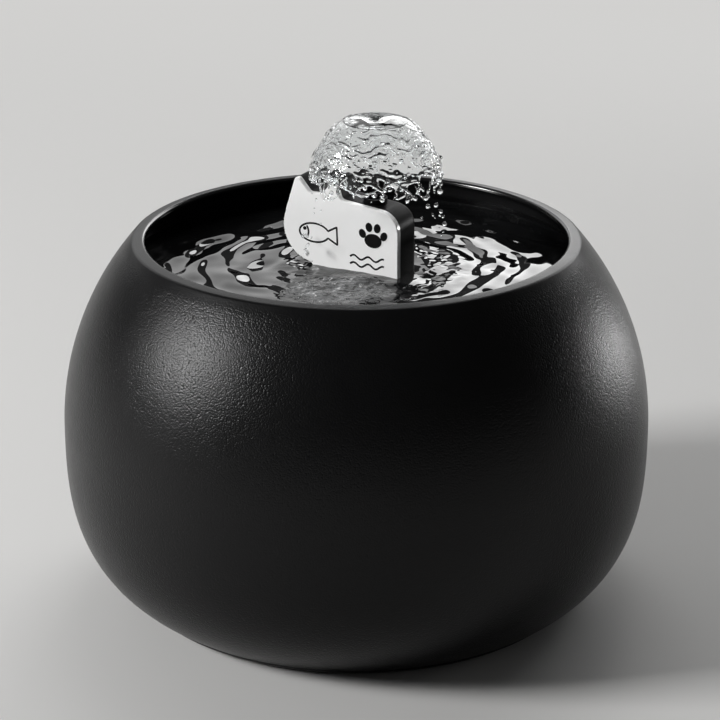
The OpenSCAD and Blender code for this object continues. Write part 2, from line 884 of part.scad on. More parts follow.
module flow_dial() {
    back = cover_front - dial_gap;
    color(bright_white)
    difference() {
        union() {
            along_axis(dial_r, back - dial_t, back);
            translate([0, 0, axis_z + dial_r]) rotate([90, 0, 0]) translate([0, 0, -back])
                cylinder(r = dial_tab_r, h = dial_t, $fn = 32);
        }
        along_axis(boss_r + running, back - dial_t - 1, back + 1);
        extrude_axis(back - dial_t - 1, back + 1) {
            inlet_windows_2d();
            for (i = [0 : dial_grips - 1]) rotate((i + 0.5) * 360 / dial_grips)
                translate([dial_r + 0.35, 0]) circle(r = dial_grip_r, $fn = 24);
        }
    }
}

module prefilter_sponge() {
    back = boss_front - head_t - gap;
    depth = 13;
    half = motor_r - 1;
    round_r = 5;
    low = cover_top + gap;
    tall = axis_z + motor_r - 2 - low;
    color(soft_black)
    union() {
        translate([-half, back - depth + round_r, low]) cube([2 * half, depth - round_r, tall]);
        translate([-half + round_r, back - depth, low]) cube([2 * (half - round_r), depth, tall]);
        for (s = [-1, 1]) translate([s * (half - round_r), back - depth + round_r, low])
            cylinder(r = round_r, h = tall, $fn = 48);
    }
}

module riser_tube() {
    color("#d9dcdc") tube(riser_r + riser_wall, riser_r, riser_z, riser_top);
}

// ---------------------------------------------------------------- filter cage

module filter_cage() {
    row_h = (slot_top - slot_z - slot_bridge) / 2;
    step = panel_angle / slots_per_panel;
    color(grey_shell)
    difference() {
        union() {
            tube(cage_r, cage_in_r, cage_z, lid_z);
            tube(cage_in_r + eps, cage_in_r - ledge_w, cover_top, cover_top + ledge_t);
        }
        for (panel = [0 : 3], i = [0 : slots_per_panel - 1], row = [0, 1])
            rotate([0, 0, panel * 90 + (i - (slots_per_panel - 1) / 2) * step])
            translate([cage_r - cage_wall - 1, 0, slot_z + row_h / 2 + row * (row_h + slot_bridge)])
            rotate([90, 0, 90]) linear_extrude(height = cage_wall + 2) slot_2d(slot_w, row_h);
    }
}

// ---------------------------------------------------------------- lid and cartridge

function lid_top(r) = lid_z + lid_t + (lid_rise - lid_t) * (1 - pow(r / cage_r, 2));
function lid_under(r) = lid_top(r) - lid_t;
lid_steps = 12;
lid_r = cage_r + lid_overhang;
lid_profile = concat(
    [[0, lid_under(0)]],
    [for (i = [1 : lid_steps]) let (r = (cage_in_r - skirt_t) * i / lid_steps) [r, lid_under(r)]],
    [[cage_in_r - skirt_t, lid_z - skirt_h], [cage_in_r - gap, lid_z - skirt_h],
     [cage_in_r - gap, lid_z], [lid_r, lid_z],
     [lid_r, lid_z + brim_t - brim_chamfer], [lid_r - brim_chamfer, lid_z + brim_t]],
    [for (i = [lid_steps : -1 : 0]) let (r = (lid_r - 1.6) * i / lid_steps) [r, lid_top(r)]]
);

module cage_lid() {
    color(grey_shell)
    difference() {
        union() {
            rotate_extrude() polygon(lid_profile);
            translate([0, 0, lid_under(0)]) cylinder(r = seat_r, h = seat_z - lid_under(0));
            translate([0, 0, seat_z - eps]) cylinder(r = collar_r, h = collar_h + eps);
            translate([0, 0, riser_top - nipple_l]) cylinder(r = pipe_r, h = seat_z - riser_top + nipple_l);
            for (s = [-1, 1]) translate([s * finger_x, 0, lid_z + 1]) finger_rib();
        }
        translate([0, 0, riser_top - nipple_l - 1]) cylinder(r = bore_r, h = seat_z + collar_h);
        tube(collar_r + 1, collar_r - collar_seal_d, seat_z + 3, seat_z + 3 + collar_seal_d + 0.2);
        around(snap_count, snap_r - 1, 45) translate([0, -snap_w / 2 - gap / 2, barb_z - gap / 2])
            cube([1 + barb_out + gap, snap_w + gap, barb_h + gap]);
    }
}

// A low rib to grip the lid by
module finger_rib() {
    for (s = [-1, 1]) translate([0, s * finger_l / 2, 0]) cylinder(r = finger_r, h = lid_rise, $fn = 32);
    translate([-finger_r, -finger_l / 2, 0]) cube([2 * finger_r, finger_l, lid_rise]);
}

module cartridge_frame() {
    color(black_shell) {
        tube(cartridge_out, cartridge_in, cartridge_z, cartridge_z + ring_t);
        tube(cartridge_out, cartridge_in, cartridge_top - ring_t, cartridge_top);
        around(rib_count, cartridge_in + 0.2)
            translate([0, -rib_w / 2, cartridge_z + eps])
            cube([rib_t, rib_w, cartridge_top - cartridge_z - 2 * eps]);
        for (i = [1 : hoop_count]) let (z = cartridge_z + i * (cartridge_top - cartridge_z) / (hoop_count + 1))
            tube(cartridge_in + rib_t - 0.3, cartridge_in + 0.5, z - hoop_t / 2, z + hoop_t / 2);
        around(snap_count, snap_r, 45) lid_snap();
    }
}

// A springy post that holds the cartridge under the lid: its barb clicks into the skirt
module lid_snap() {
    translate([0, snap_w / 2, 0]) rotate([90, 0, 0]) linear_extrude(height = snap_w)
    polygon([[-snap_t, cartridge_top - eps], [0, cartridge_top - eps], [0, barb_z], [barb_out, barb_z],
             [barb_out, barb_z + 0.4], [0, barb_z + barb_h], [0, cartridge_top + snap_h],
             [-snap_t, cartridge_top + snap_h]]);
}

function pleat_ring(high, low) =
    [for (i = [0 : 2 * pleats - 1]) let (a = i * 180 / pleats) (i % 2 == 0 ? high : low) * [cos(a), sin(a)]];

module filter_media() {
    high = cartridge_out - 0.6;
    low = cartridge_in + rib_t + 2 * gap + fleece_t;
    color(fleece)
    translate([0, 0, cartridge_z + ring_t])
    linear_extrude(height = cartridge_top - cartridge_z - 2 * ring_t)
    difference() {
        polygon(pleat_ring(high, low));
        polygon(pleat_ring(high - fleece_t, low - fleece_t));
    }
}

module collar_seal() {
    color(soft_black)
    translate([0, 0, seat_z + 3 + collar_seal_d / 2 + 0.1])
    rotate_extrude() translate([socket_r - collar_seal_d / 2 - 0.01, 0]) circle(r = collar_seal_d / 2, $fn = 24);
}

// ---------------------------------------------------------------- cat spout

// Places the spout's own frame on the lid
module spout_frame() {
    rotate([0, 0, -spout_yaw]) children();
}

// A disc seen from the front, with its rear edge rounded
module round_back_disc(x, z, r) {
    translate([x, figure_front, z]) rotate([-90, 0, 0])
    rotate_extrude($fn = 48)
    polygon(concat([[0, 0], [r, 0]],
        [for (a = [0 : 18 : 90]) [r - edge_r + edge_r * cos(a), spout_depth - edge_r + edge_r * sin(a)]],
        [[0, spout_depth]]));
}

// One corner of an ear: a rod with a ball at its rear end
module ear_corner(x, z, r) {
    translate([x, figure_front, z]) rotate([-90, 0, 0]) cylinder(r = r, h = spout_depth - 1 - r, $fn = 32);
    translate([x, figure_back - 1 - r, z]) sphere(r = r, $fn = 32);
}

// The corner points of an ear, for the left ear (-1) or the right ear (1)
function ear_points(s) = [
    [head_x + s * ear_x, seat_z + spout_h - ear_tip_r, ear_tip_r],
    [head_x + s * (cat_head_r - ear_sink), head_z + ear_low, ear_base_r],
    [head_x + s * ear_in, head_z + cat_head_r - ear_sink, ear_base_r]
];

// The corner points of the trunk
trunk_points = [
    [trunk_left + trunk_r + 1, trunk_top - trunk_r],
    [trunk_right - trunk_r, trunk_top - trunk_drop - trunk_r],
    [trunk_right - trunk_r, seat_z + trunk_r],
    [trunk_left + trunk_r, seat_z + trunk_r]
];

module cat_outline_2d() {
    offset(r = -ear_fillet, $fn = 32) offset(r = ear_fillet, $fn = 32) {
        translate([head_x, head_z]) circle(r = cat_head_r, $fn = 48);
        for (s = [-1, 1]) hull()
            for (p = ear_points(s)) translate([p[0], p[1]]) circle(r = p[2], $fn = 24);
        hull()
            for (p = trunk_points) translate(p) circle(r = trunk_r, $fn = 32);
    }
}

module water_way() {
    bend_z = seat_z + socket_h + 4;
    outlet_z = outlet_top - outlet_seat;
    translate([0, 0, seat_z - 1]) cylinder(r = socket_r, h = socket_h + 1);
    translate([0, 0, seat_z + 1]) cylinder(r = bore_r, h = bend_z - seat_z);
    rod_between([0, 0, bend_z], [outlet_x, outlet_y, outlet_z + 1], bore_r);
    translate([outlet_x, outlet_y, outlet_z]) cylinder(r = outlet_r + running, h = outlet_seat + 5);
}

module cat_body() {
    color(soft_black)
    spout_frame()
    difference() {
        union() {
            round_back_disc(head_x, head_z, cat_head_r);
            for (s = [-1, 1]) hull()
                for (p = ear_points(s)) ear_corner(p[0], p[1], p[2]);
            hull()
                for (p = trunk_points) round_back_disc(p[0], p[1], trunk_r);
            translate([0, figure_front + spout_depth - edge_r, 0]) rotate([90, 0, 0])
                linear_extrude(height = spout_depth - edge_r) offset(r = -eps) cat_outline_2d();
        }
        water_way();
        for (p = peg_spots) translate([p[0], figure_front - 1, p[1]])
            rotate([-90, 0, 0]) cylinder(r = peg_r + running, h = peg_l + 1.2);
    }
}

module cat_face_plate() {
    round_steps = 2;
    color(bright_white)
    spout_frame() {
        translate([0, figure_front, 0]) rotate([90, 0, 0]) {
            linear_extrude(height = plate_t - plate_round) cat_outline_2d();
            for (i = [1 : round_steps]) let (a = 90 * i / round_steps)
                linear_extrude(height = plate_t - plate_round * (1 - sin(a)))
                offset(r = -plate_round * (1 - cos(a - 90 / round_steps))) cat_outline_2d();
        }
        for (p = peg_spots) translate([p[0], figure_front - eps, p[1]])
            rotate([-90, 0, 0]) cylinder(r = peg_r, h = peg_l);
    }
}

module nozzle_insert() {
    low = outlet_top - outlet_seat;
    color(soft_black)
    spout_frame()
    translate([outlet_x, outlet_y, low])
    difference() {
        cylinder(r = outlet_r, h = outlet_seat + outlet_proud);
        translate([0, 0, -eps]) cylinder(r = bore_r, h = outlet_seat + 2);
        translate([0, 0, outlet_seat + outlet_proud - 2]) cylinder(r1 = bore_r, r2 = outlet_r - 0.6, h = 2 + eps);
    }
}

// The bell's outline: a low crown, and a skirt that falls ever more steeply from its edge
function bell_crown(r) = [r, bell_top + cap_rise * (1 - pow(r / bell_cap_r, 2))];
function bell_skirt(t) = [bell_cap_r + (bell_r - bell_cap_r) * t * (2 - t), bell_top - bell_h * t];
function bell_inside(t) = bell_skirt(t) - sheet_t * [t, 1 - t];
bell_steps = 12;
crown_steps = 4;

module water_bell() {
    color(water, 0.5)
    spout_frame()
    translate([outlet_x, outlet_y, 0])
    rotate_extrude($fn = 64)
    polygon(concat(
        [[0, jet_z], [jet_r, jet_z], [jet_r * 0.7, bell_top - 2 * funnel_h], [jet_r, bell_top - funnel_h],
         [bell_cap_r / 2, bell_top - 1.4 * sheet_t]],
        [for (i = [0 : bell_steps]) bell_inside(i / bell_steps)],
        [for (i = [bell_steps : -1 : 0]) bell_skirt(i / bell_steps)],
        [for (i = [crown_steps - 1 : -1 : 0]) bell_crown(bell_cap_r * i / crown_steps)]
    ));
}

// ---------------------------------------------------------------- assembly

bowl();
bowl_foot_ring();
base_lower_shell();
base_upper_shell();
transmitter_coil();
transmitter_ferrite();
driver_board();
usb_inlet();
base_screws();
base_feet();
filter_cage();
module_feet();
receiver_tray();
receiver_cover();
receiver_seal();
receiver_coil();
receiver_ferrite();
receiver_board();
motor_pins();
pump_housing();
stator_core();
stator_windings();
motor_end_cap();
rotor_shaft();
shaft_bushes();
rotor_magnet();
impeller();
volute_cover();
volute_seal();
flow_dial();
prefilter_sponge();
riser_tube();
cage_lid();
cartridge_frame();
filter_media();
collar_seal();
cat_body();
cat_face_plate();
nozzle_insert();
water_bell();
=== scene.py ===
"""Looks of a pet water fountain: finishes, moving water, soft pieces and a plain studio."""

import logging
import math
from dataclasses import dataclass, field
from enum import Enum
from typing import Any, ClassVar, Iterable, Mapping, Sequence

import bmesh
import bpy
import numpy as np
from mathutils import Matrix, Vector


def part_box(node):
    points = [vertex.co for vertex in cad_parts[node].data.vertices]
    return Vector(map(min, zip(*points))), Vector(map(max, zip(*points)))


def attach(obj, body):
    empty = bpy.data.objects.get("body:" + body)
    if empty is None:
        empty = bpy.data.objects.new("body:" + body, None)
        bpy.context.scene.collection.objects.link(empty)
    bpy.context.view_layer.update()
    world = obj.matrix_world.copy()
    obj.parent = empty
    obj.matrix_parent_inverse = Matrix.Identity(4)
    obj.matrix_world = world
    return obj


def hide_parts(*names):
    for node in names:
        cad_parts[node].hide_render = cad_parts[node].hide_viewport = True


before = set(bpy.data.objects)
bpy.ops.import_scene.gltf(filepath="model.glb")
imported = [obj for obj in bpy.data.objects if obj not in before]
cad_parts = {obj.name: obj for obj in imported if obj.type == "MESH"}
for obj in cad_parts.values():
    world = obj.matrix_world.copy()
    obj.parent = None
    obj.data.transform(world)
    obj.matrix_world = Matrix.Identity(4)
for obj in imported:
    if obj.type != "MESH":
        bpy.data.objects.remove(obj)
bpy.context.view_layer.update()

MM = 0.001
log = logging.getLogger("fountain")

Colour = tuple[float, float, float]
Point2 = tuple[float, float]
Paint = Colour | bpy.types.NodeSocket

# Lengths under which points are one or a thickness is none, and crease angles in degrees.
TOUCHING = 1e-6
SPECK = 1e-7
SMOOTH = 180
PACKED_CREASE = 28

# What the pool, its finish and the bell of water share.
WATER_LEVEL = 128.5 * MM
STIR_SPOT: Point2 = (-6 * MM, -30 * MM)
STIR_STRETCH = 1.6


class Motif(Enum):
    """The drawings on the white plate."""

    FISH = "fish"
    WAVES = "waves"


# ---------------------------------------------------------------- node trees


class Value:
    """A number socket that takes part in Python expressions."""

    def __init__(self, sheet: "NodeSheet", socket: bpy.types.NodeSocket) -> None:
        """Wraps an output socket of the sheet that new Math nodes are added to."""
        self.sheet = sheet
        self.socket = socket

    def __add__(self, other: "Term") -> "Value":
        """Sum."""
        return self.sheet.math("ADD", self, other)

    def __radd__(self, other: "Term") -> "Value":
        """Sum with the number first."""
        return self.sheet.math("ADD", other, self)

    def __sub__(self, other: "Term") -> "Value":
        """Difference."""
        return self.sheet.math("SUBTRACT", self, other)

    def __rsub__(self, other: "Term") -> "Value":
        """Difference with the number first."""
        return self.sheet.math("SUBTRACT", other, self)

    def __mul__(self, other: "Term") -> "Value":
        """Product."""
        return self.sheet.math("MULTIPLY", self, other)

    def __rmul__(self, other: "Term") -> "Value":
        """Product with the number first."""
        return self.sheet.math("MULTIPLY", other, self)

    def __truediv__(self, other: "Term") -> "Value":
        """Quotient."""
        return self.sheet.math("DIVIDE", self, other)

    def __rtruediv__(self, other: "Term") -> "Value":
        """Quotient with the number first."""
        return self.sheet.math("DIVIDE", other, self)

    def __pow__(self, other: "Term") -> "Value":
        """Power."""
        return self.sheet.math("POWER", self, other)

    def __neg__(self) -> "Value":
        """Opposite number."""
        return self.sheet.math("MULTIPLY", self, -1.0)

    def __abs__(self) -> "Value":
        """Size without its sign."""
        return self.sheet.math("ABSOLUTE", self)


Term = Value | float | int


class NodeSheet:
    """A node tree that is filled through one method."""

    def __init__(self, tree: bpy.types.NodeTree) -> None:
        """Takes a shader or geometry tree and empties it."""
        self.tree = tree
        tree.nodes.clear()

    def add(
        self,
        kind: str,
        settings: Mapping[str, Any] | None = None,
        inputs: Mapping[int | str, Any] | None = None,
    ) -> bpy.types.Node:
        """Adds one node.

        Args:
            kind: the node's type.
            settings: its properties, set first.
            inputs: values or links of its sockets, by name or by number.

        Returns:
            The new node.
        """
        node = self.tree.nodes.new(kind)
        for name, value in (settings or {}).items():
            setattr(node, name, value)
        for key, value in (inputs or {}).items():
            self.feed(self.pick(node.inputs, key), value)
        return node

    @staticmethod
    def pick(sockets: Iterable[bpy.types.NodeSocket], key: int | str) -> bpy.types.NodeSocket:
        """Finds a socket by number, or by name among those in use."""
        if isinstance(key, int):
            return sockets[key]
        return next(s for s in sockets if s.enabled and s.name == key)

    def feed(self, socket: bpy.types.NodeSocket, value: Any) -> None:
        """Links a socket to a value, socket or node, or sets its number."""
        if isinstance(value, Value):
            self.tree.links.new(value.socket, socket)
        elif isinstance(value, bpy.types.NodeSocket):
            self.tree.links.new(value, socket)
        elif isinstance(value, bpy.types.Node):
            self.tree.links.new(next(s for s in value.outputs if s.enabled), socket)
        else:
            socket.default_value = value

    def value(self, node: bpy.types.Node, key: int | str = 0) -> Value:
        """Wraps a node's output for use in expressions."""
        return Value(self, self.pick(node.outputs, key))

    def math(self, operation: str, *terms: Term) -> Value:
        """Adds a Math node with one to three terms and gives its result."""
        return self.value(self.add("ShaderNodeMath", {"operation": operation}, dict(enumerate(terms))))

    def between(self, low: Term, high: Term, value: Term) -> Value:
        """Smooth step from 0 at low to 1 at high."""
        node = self.add(
            "ShaderNodeMapRange",
            {"interpolation_type": "SMOOTHSTEP"},
            {"Value": value, "From Min": low, "From Max": high},
        )
        return self.value(node)

    def lesser(self, a: Term, b: Term) -> Value:
        """The smaller of two numbers."""
        return self.math("MINIMUM", a, b)

    def greater(self, a: Term, b: Term) -> Value:
        """The larger of two numbers."""
        return self.math("MAXIMUM", a, b)

    def share(self, value: Term) -> Value:
        """A number kept between 0 and 1."""
        return self.lesser(self.greater(value, 0.0), 1.0)

    def distance(self, x: Value, y: Value) -> Value:
        """How far a place lies from the origin, seen from above."""
        return self.math("SQRT", x * x + y * y)

    def split(self, vector: Any) -> tuple[Value, Value, Value]:
        """X, Y and Z of a vector."""
        node = self.add("ShaderNodeSeparateXYZ", inputs={0: vector})
        return self.value(node, 0), self.value(node, 1), self.value(node, 2)

    def joined(self, x: Term, y: Term, z: Term) -> bpy.types.NodeSocket:
        """A vector from three numbers."""
        return self.add("ShaderNodeCombineXYZ", inputs={0: x, 1: y, 2: z}).outputs[0]

    def noise(
        self, place: Any, grain: float, detail: float = 2.0, rough: float = 0.5, shift: float = 0.0
    ) -> Value:
        """Soft random pattern.

        Args:
            place: the coordinates it is read at.
            grain: size of one patch, in metres.
            detail: octaves.
            rough: strength of the finer octaves.
            shift: warp of the pattern.

        Returns:
            A value round 0.5.
        """
        inputs = {"Vector": place, "Scale": 1 / grain, "Detail": detail, "Roughness": rough}
        return self.value(self.add("ShaderNodeTexNoise", inputs={**inputs, "Distortion": shift}))

    def swing(self, place: Any, grain: float, *finer: float) -> Value:
        """The same soft pattern round 0, with noise's detail, rough and shift as further numbers."""
        return self.noise(place, grain, *finer) - 0.5

    def cells(self, place: Any, grain: float, feature: str = "F1") -> Value:
        """Distance, in cell sizes, in a pattern of cells of a size in metres."""
        node = self.add("ShaderNodeTexVoronoi", {"feature": feature}, {"Vector": place, "Scale": 1 / grain})
        return self.value(node, "Distance")

    def stretched(self, place: Any, scale: tuple[float, float, float]) -> bpy.types.NodeSocket:
        """Coordinates multiplied along each axis."""
        return self.add("ShaderNodeVectorMath", {"operation": "MULTIPLY"}, {0: place, 1: scale}).outputs[0]


class ShadeSheet(NodeSheet):
    """The tree of one material."""

    def place(self) -> bpy.types.NodeSocket:
        """Object coordinates, which are the frame's own, in metres."""
        return self.add("ShaderNodeTexCoord").outputs["Object"]

    def mix(self, factor: Term, first: Paint, second: Paint) -> bpy.types.NodeSocket:
        """Blends two colours, from the first at 0 to the second at 1."""
        pair = [(*c, 1.0) if isinstance(c, tuple) else c for c in (first, second)]
        inputs = {"Factor": factor, "A": pair[0], "B": pair[1]}
        return self.pick(self.add("ShaderNodeMix", {"data_type": "RGBA"}, inputs).outputs, "Result")

    def bump(self, height: Value, depth: float) -> bpy.types.NodeSocket:
        """The normal of a height pattern from 0 to 1, with its real depth in metres."""
        inputs = {"Height": height, "Distance": depth, "Strength": 1.0}
        return self.add("ShaderNodeBump", inputs=inputs).outputs[0]


class ShapeSheet(NodeSheet):
    """A Geometry Nodes tree with named inputs for its sizes."""

    def __init__(self, name: str, sizes: Mapping[str, float | int]) -> None:
        """Makes the tree and its inputs.

        Args:
            name: the tree's name.
            sizes: each named input with its value; whole numbers make whole-number inputs.
        """
        super().__init__(bpy.data.node_groups.new(name, "GeometryNodeTree"))
        self.sizes = dict(sizes)
        face = self.tree.interface
        face.new_socket(name="Geometry", in_out="INPUT", socket_type="NodeSocketGeometry")
        for label, size in sizes.items():
            kind = "NodeSocketInt" if isinstance(size, int) else "NodeSocketFloat"
            face.new_socket(name=label, in_out="INPUT", socket_type=kind)
        face.new_socket(name="Geometry", in_out="OUTPUT", socket_type="NodeSocketGeometry")
        self.entry = self.add("NodeGroupInput")
        self.given = self.entry.outputs["Geometry"]

    def size(self, label: str) -> Value:
        """The named input as a value."""
        return self.value(self.entry, label)

    def merged(self, geometry: Any, distance: Term) -> bpy.types.Node:
        """Joins points that lie closer than a distance."""
        return self.add("GeometryNodeMergeByDistance", inputs={0: geometry, "Distance": distance})

    def placed(self, geometry: Any, how: str, amount: Any) -> bpy.types.Node:
        """Changes a geometry's Scale, Rotation or Translation."""
        return self.add("GeometryNodeTransform", inputs={0: geometry, how: amount})

    def stored(self, name: str, kind: str = "FLOAT") -> Value:
        """Reads an attribute that the points carry."""
        node = self.add("GeometryNodeInputNamedAttribute", {"data_type": kind}, {"Name": name})
        return self.value(node, "Attribute")

    def chance(self, seed: Term) -> Value:
        """A random number from 0 to 1 for each point."""
        limits = {"Min": 0.0, "Max": 1.0, "Seed": seed}
        return self.value(self.add("FunctionNodeRandomValue", {"data_type": "FLOAT"}, limits), "Value")

    def balls(self, points: Any, rotation: Any, scale: Any) -> bpy.types.Node:
        """Puts a small ball on every point, turned and scaled."""
        ball = self.add("GeometryNodeMeshIcoSphere", inputs={"Radius": 1.0, "Subdivisions": 2})
        inputs = {"Points": points, "Instance": ball, "Rotation": rotation, "Scale": scale}
        copies = self.add("GeometryNodeInstanceOnPoints", inputs=inputs)
        return self.add("GeometryNodeRealizeInstances", inputs={0: copies})

    def lines(self, step: Term) -> bpy.types.Node:
        """The given edges as curves, with a point at every step."""
        curve = self.add("GeometryNodeMeshToCurve", inputs={0: self.given})
        return self.add("GeometryNodeResampleCurve", {"mode": "LENGTH"}, {"Curve": curve, "Length": step})

    def swept(self, curve: Any, sides: int, radius: Term, scale: Term = 1.0) -> bpy.types.Node:
        """Sweeps a round section along a curve.

        Args:
            curve: the centre lines.
            sides: the number of corners of the section.
            radius: its radius.
            scale: its size at each point of the curve.

        Returns:
            The last node of the chain.
        """
        ring = self.add("GeometryNodeCurvePrimitiveCircle", inputs={"Resolution": sides, "Radius": radius})
        inputs = {"Curve": curve, "Profile Curve": ring, "Scale": scale, "Fill Caps": True}
        return self.add("GeometryNodeCurveToMesh", inputs=inputs)

    def finish(self, geometry: Any, material: bpy.types.Material) -> None:
        """Ends the tree in Realize Instances and Set Material."""
        solid = self.add("GeometryNodeRealizeInstances", inputs={0: geometry})
        painted = self.add("GeometryNodeSetMaterial", inputs={0: solid, "Material": material})
        self.add("NodeGroupOutput", inputs={0: painted})

    def shade(self, geometry: Any, crease: float) -> bpy.types.Node:
        """Smooth faces, with sharp edges where they turn by more than an angle.

        Args:
            geometry: what to shade.
            crease: the angle in degrees.

        Returns:
            The last node of the chain.
        """
        kind, label = "GeometryNodeSetShadeSmooth", "Shade Smooth"
        faces = self.add(kind, {"domain": "FACE"}, {0: geometry, label: True})
        angle = self.value(self.add("GeometryNodeInputMeshEdgeAngle"), 0)
        inputs = {0: angle, 1: math.radians(crease)}
        flat = self.add("FunctionNodeCompare", {"operation": "LESS_THAN"}, inputs)
        return self.add(kind, {"domain": "EDGE"}, {0: faces, label: flat})

    def grow(self, name: str, start: bpy.types.Mesh | None = None) -> bpy.types.Object:
        """Runs the tree on a new object and keeps the result as a plain mesh.

        Args:
            name: the piece's name.
            start: the mesh that the tree starts from, if it needs one.

        Returns:
            The finished piece, without a modifier.
        """
        piece = link(bpy.data.objects.new(name, start or bpy.data.meshes.new(name)))
        modifier = piece.modifiers.new("shape", "NODES")
        modifier.node_group = self.tree
        for item in self.tree.interface.items_tree:
            if item.in_out == "INPUT" and item.name in self.sizes:
                modifier[item.identifier] = self.sizes[item.name]
        return settle(piece)


# ---------------------------------------------------------------- meshes


def link(piece: bpy.types.Object) -> bpy.types.Object:
    """Puts an object into the scene and returns it."""
    bpy.context.scene.collection.objects.link(piece)
    return piece


def settle(piece: bpy.types.Object) -> bpy.types.Object:
    """Applies a piece's modifiers to its mesh.

    Args:
        piece: the object with modifiers.

    Returns:
        The same object with a plain mesh.
    """
    graph = bpy.context.evaluated_depsgraph_get()
    mesh = bpy.data.meshes.new_from_object(piece.evaluated_get(graph), depsgraph=graph)
    piece.modifiers.clear()
    piece.data = mesh
    mesh.name = piece.name
    return piece


def solid(
    name: str, points: np.ndarray, faces: Sequence[Sequence[int]], finish: "Finish", crease: float = 35.0
) -> bpy.types.Object:
    """Makes a piece from points and faces, merged, facing outwards and smooth up to a crease angle.

    Args:
        name: the piece's name.
        points: its corners, in metres.
        faces: its faces, as corner numbers.
        finish: what it is covered with.
        crease: edges sharper than this many degrees stay sharp.

    Returns:
        The new piece.
    """
    mesh = bpy.data.meshes.new(name)
    mesh.from_pydata([tuple(p) for p in points], [], [tuple(f) for f in faces])
    work = bmesh.new()
    work.from_mesh(mesh)
    bmesh.ops.remove_doubles(work, verts=work.verts, dist=TOUCHING)
    bmesh.ops.dissolve_degenerate(work, edges=work.edges, dist=SPECK)
    bmesh.ops.recalc_face_normals(work, faces=work.faces)
    work.to_mesh(mesh)
    work.free()
    mesh.shade_smooth()
    mesh.set_sharp_from_angle(angle=math.radians(crease))
    mesh.materials.append(finish.material())
    return link(bpy.data.objects.new(name, mesh))


def face_out(piece: bpy.types.Object) -> None:
    """Takes out what touches only along an edge, closes what is open there and turns all faces outwards."""
    work = bmesh.new()
    work.from_mesh(piece.data)
    bmesh.ops.dissolve_degenerate(work, edges=work.edges, dist=SPECK)
    pinched = {face for edge in work.edges if len(edge.link_faces) > 2 for face in edge.link_faces}
    bmesh.ops.delete(work, geom=list(pinched), context="FACES")
    bmesh.ops.holes_fill(work, edges=[edge for edge in work.edges if edge.is_boundary], sides=0)
    bmesh.ops.recalc_face_normals(work, faces=work.faces)
    work.to_mesh(piece.data)
    work.free()


def turned(profile: Sequence[Point2], segments: int) -> tuple[np.ndarray, list[tuple[int, ...]]]:
    """Turns a profile about the Z axis.

    Args:
        profile: radius and height of each point, from axis to axis or as a closed loop's points.
        segments: the number of copies round the axis.

    Returns:
        The points and the faces between neighbouring copies.
    """
    line = np.array(profile, float)
    angles = np.linspace(0, 2 * math.pi, segments, endpoint=False)
    points = np.stack(
        [
            np.outer(np.cos(angles), line[:, 0]).ravel(),
            np.outer(np.sin(angles), line[:, 0]).ravel(),
            np.tile(line[:, 1], segments),
        ],
        axis=1,
    )
    n, faces = len(line), []
    for i in range(segments):
        a, b = i * n, (i + 1) % segments * n
        faces += [(a + j, b + j, b + j + 1, a + j + 1) for j in range(n - 1)]
    return points, faces


def pushed(outline: Sequence[Point2], low: float, high: float) -> tuple[np.ndarray, list[tuple[int, ...]]]:
    """Pushes a closed outline along Y.

    Args:
        outline: X and Z of each corner.
        low: the first Y.
        high: the last Y.

    Returns:
        The points and the faces of the closed prism.
    """
    n = len(outline)
    points = np.array([(x, y, z) for y in (low, high) for x, z in outline])
    faces = [tuple(range(n)), tuple(range(2 * n - 1, n - 1, -1))]
    faces += [(i, (i + 1) % n, n + (i + 1) % n, n + i) for i in range(n)]
    return points, faces


def arc(centre: Point2, radii: Point2, first: float, last: float, steps: int) -> list[Point2]:
    """Points along part of an ellipse.

    Args:
        centre: its middle.
        radii: its two half axes.
        first: the angle that it starts at, in degrees.
        last: the angle that it ends at, in degrees.
        steps: the number of stretches.

    Returns:
        The points, both ends included.
    """
    angles = [math.radians(first + (last - first) * i / steps) for i in range(steps + 1)]
    return [(centre[0] + radii[0] * math.cos(a), centre[1] + radii[1] * math.sin(a)) for a in angles]


# ---------------------------------------------------------------- finishes


def toned(colour: Colour, factor: float, lift: float = 0.0) -> Colour:
    """A colour multiplied and lifted, up to white."""
    return tuple(min(c * factor + lift, 1.0) for c in colour)


@dataclass(frozen=True)
class Finish:
    """What every finish shares: a name and a Principled shader that its own nodes feed."""

    made: ClassVar[dict[str, bpy.types.Material]] = {}
    name: str
    colour: Colour

    def material(self) -> bpy.types.Material:
        """Makes the material once.

        Returns:
            The finish as a Blender material.
        """
        if self.name not in self.made:
            fresh = bpy.data.materials.new(self.name)
            fresh.use_nodes = True
            sheet = ShadeSheet(fresh.node_tree)
            shader = sheet.add("ShaderNodeBsdfPrincipled", inputs=self.surface(sheet))
            sheet.add("ShaderNodeOutputMaterial", inputs={"Surface": shader})
            self.made[self.name] = fresh
        return self.made[self.name]

    def surface(self, sheet: ShadeSheet) -> dict[int | str, Any]:
        """What feeds the Principled shader: values and links by socket name."""
        raise NotImplementedError


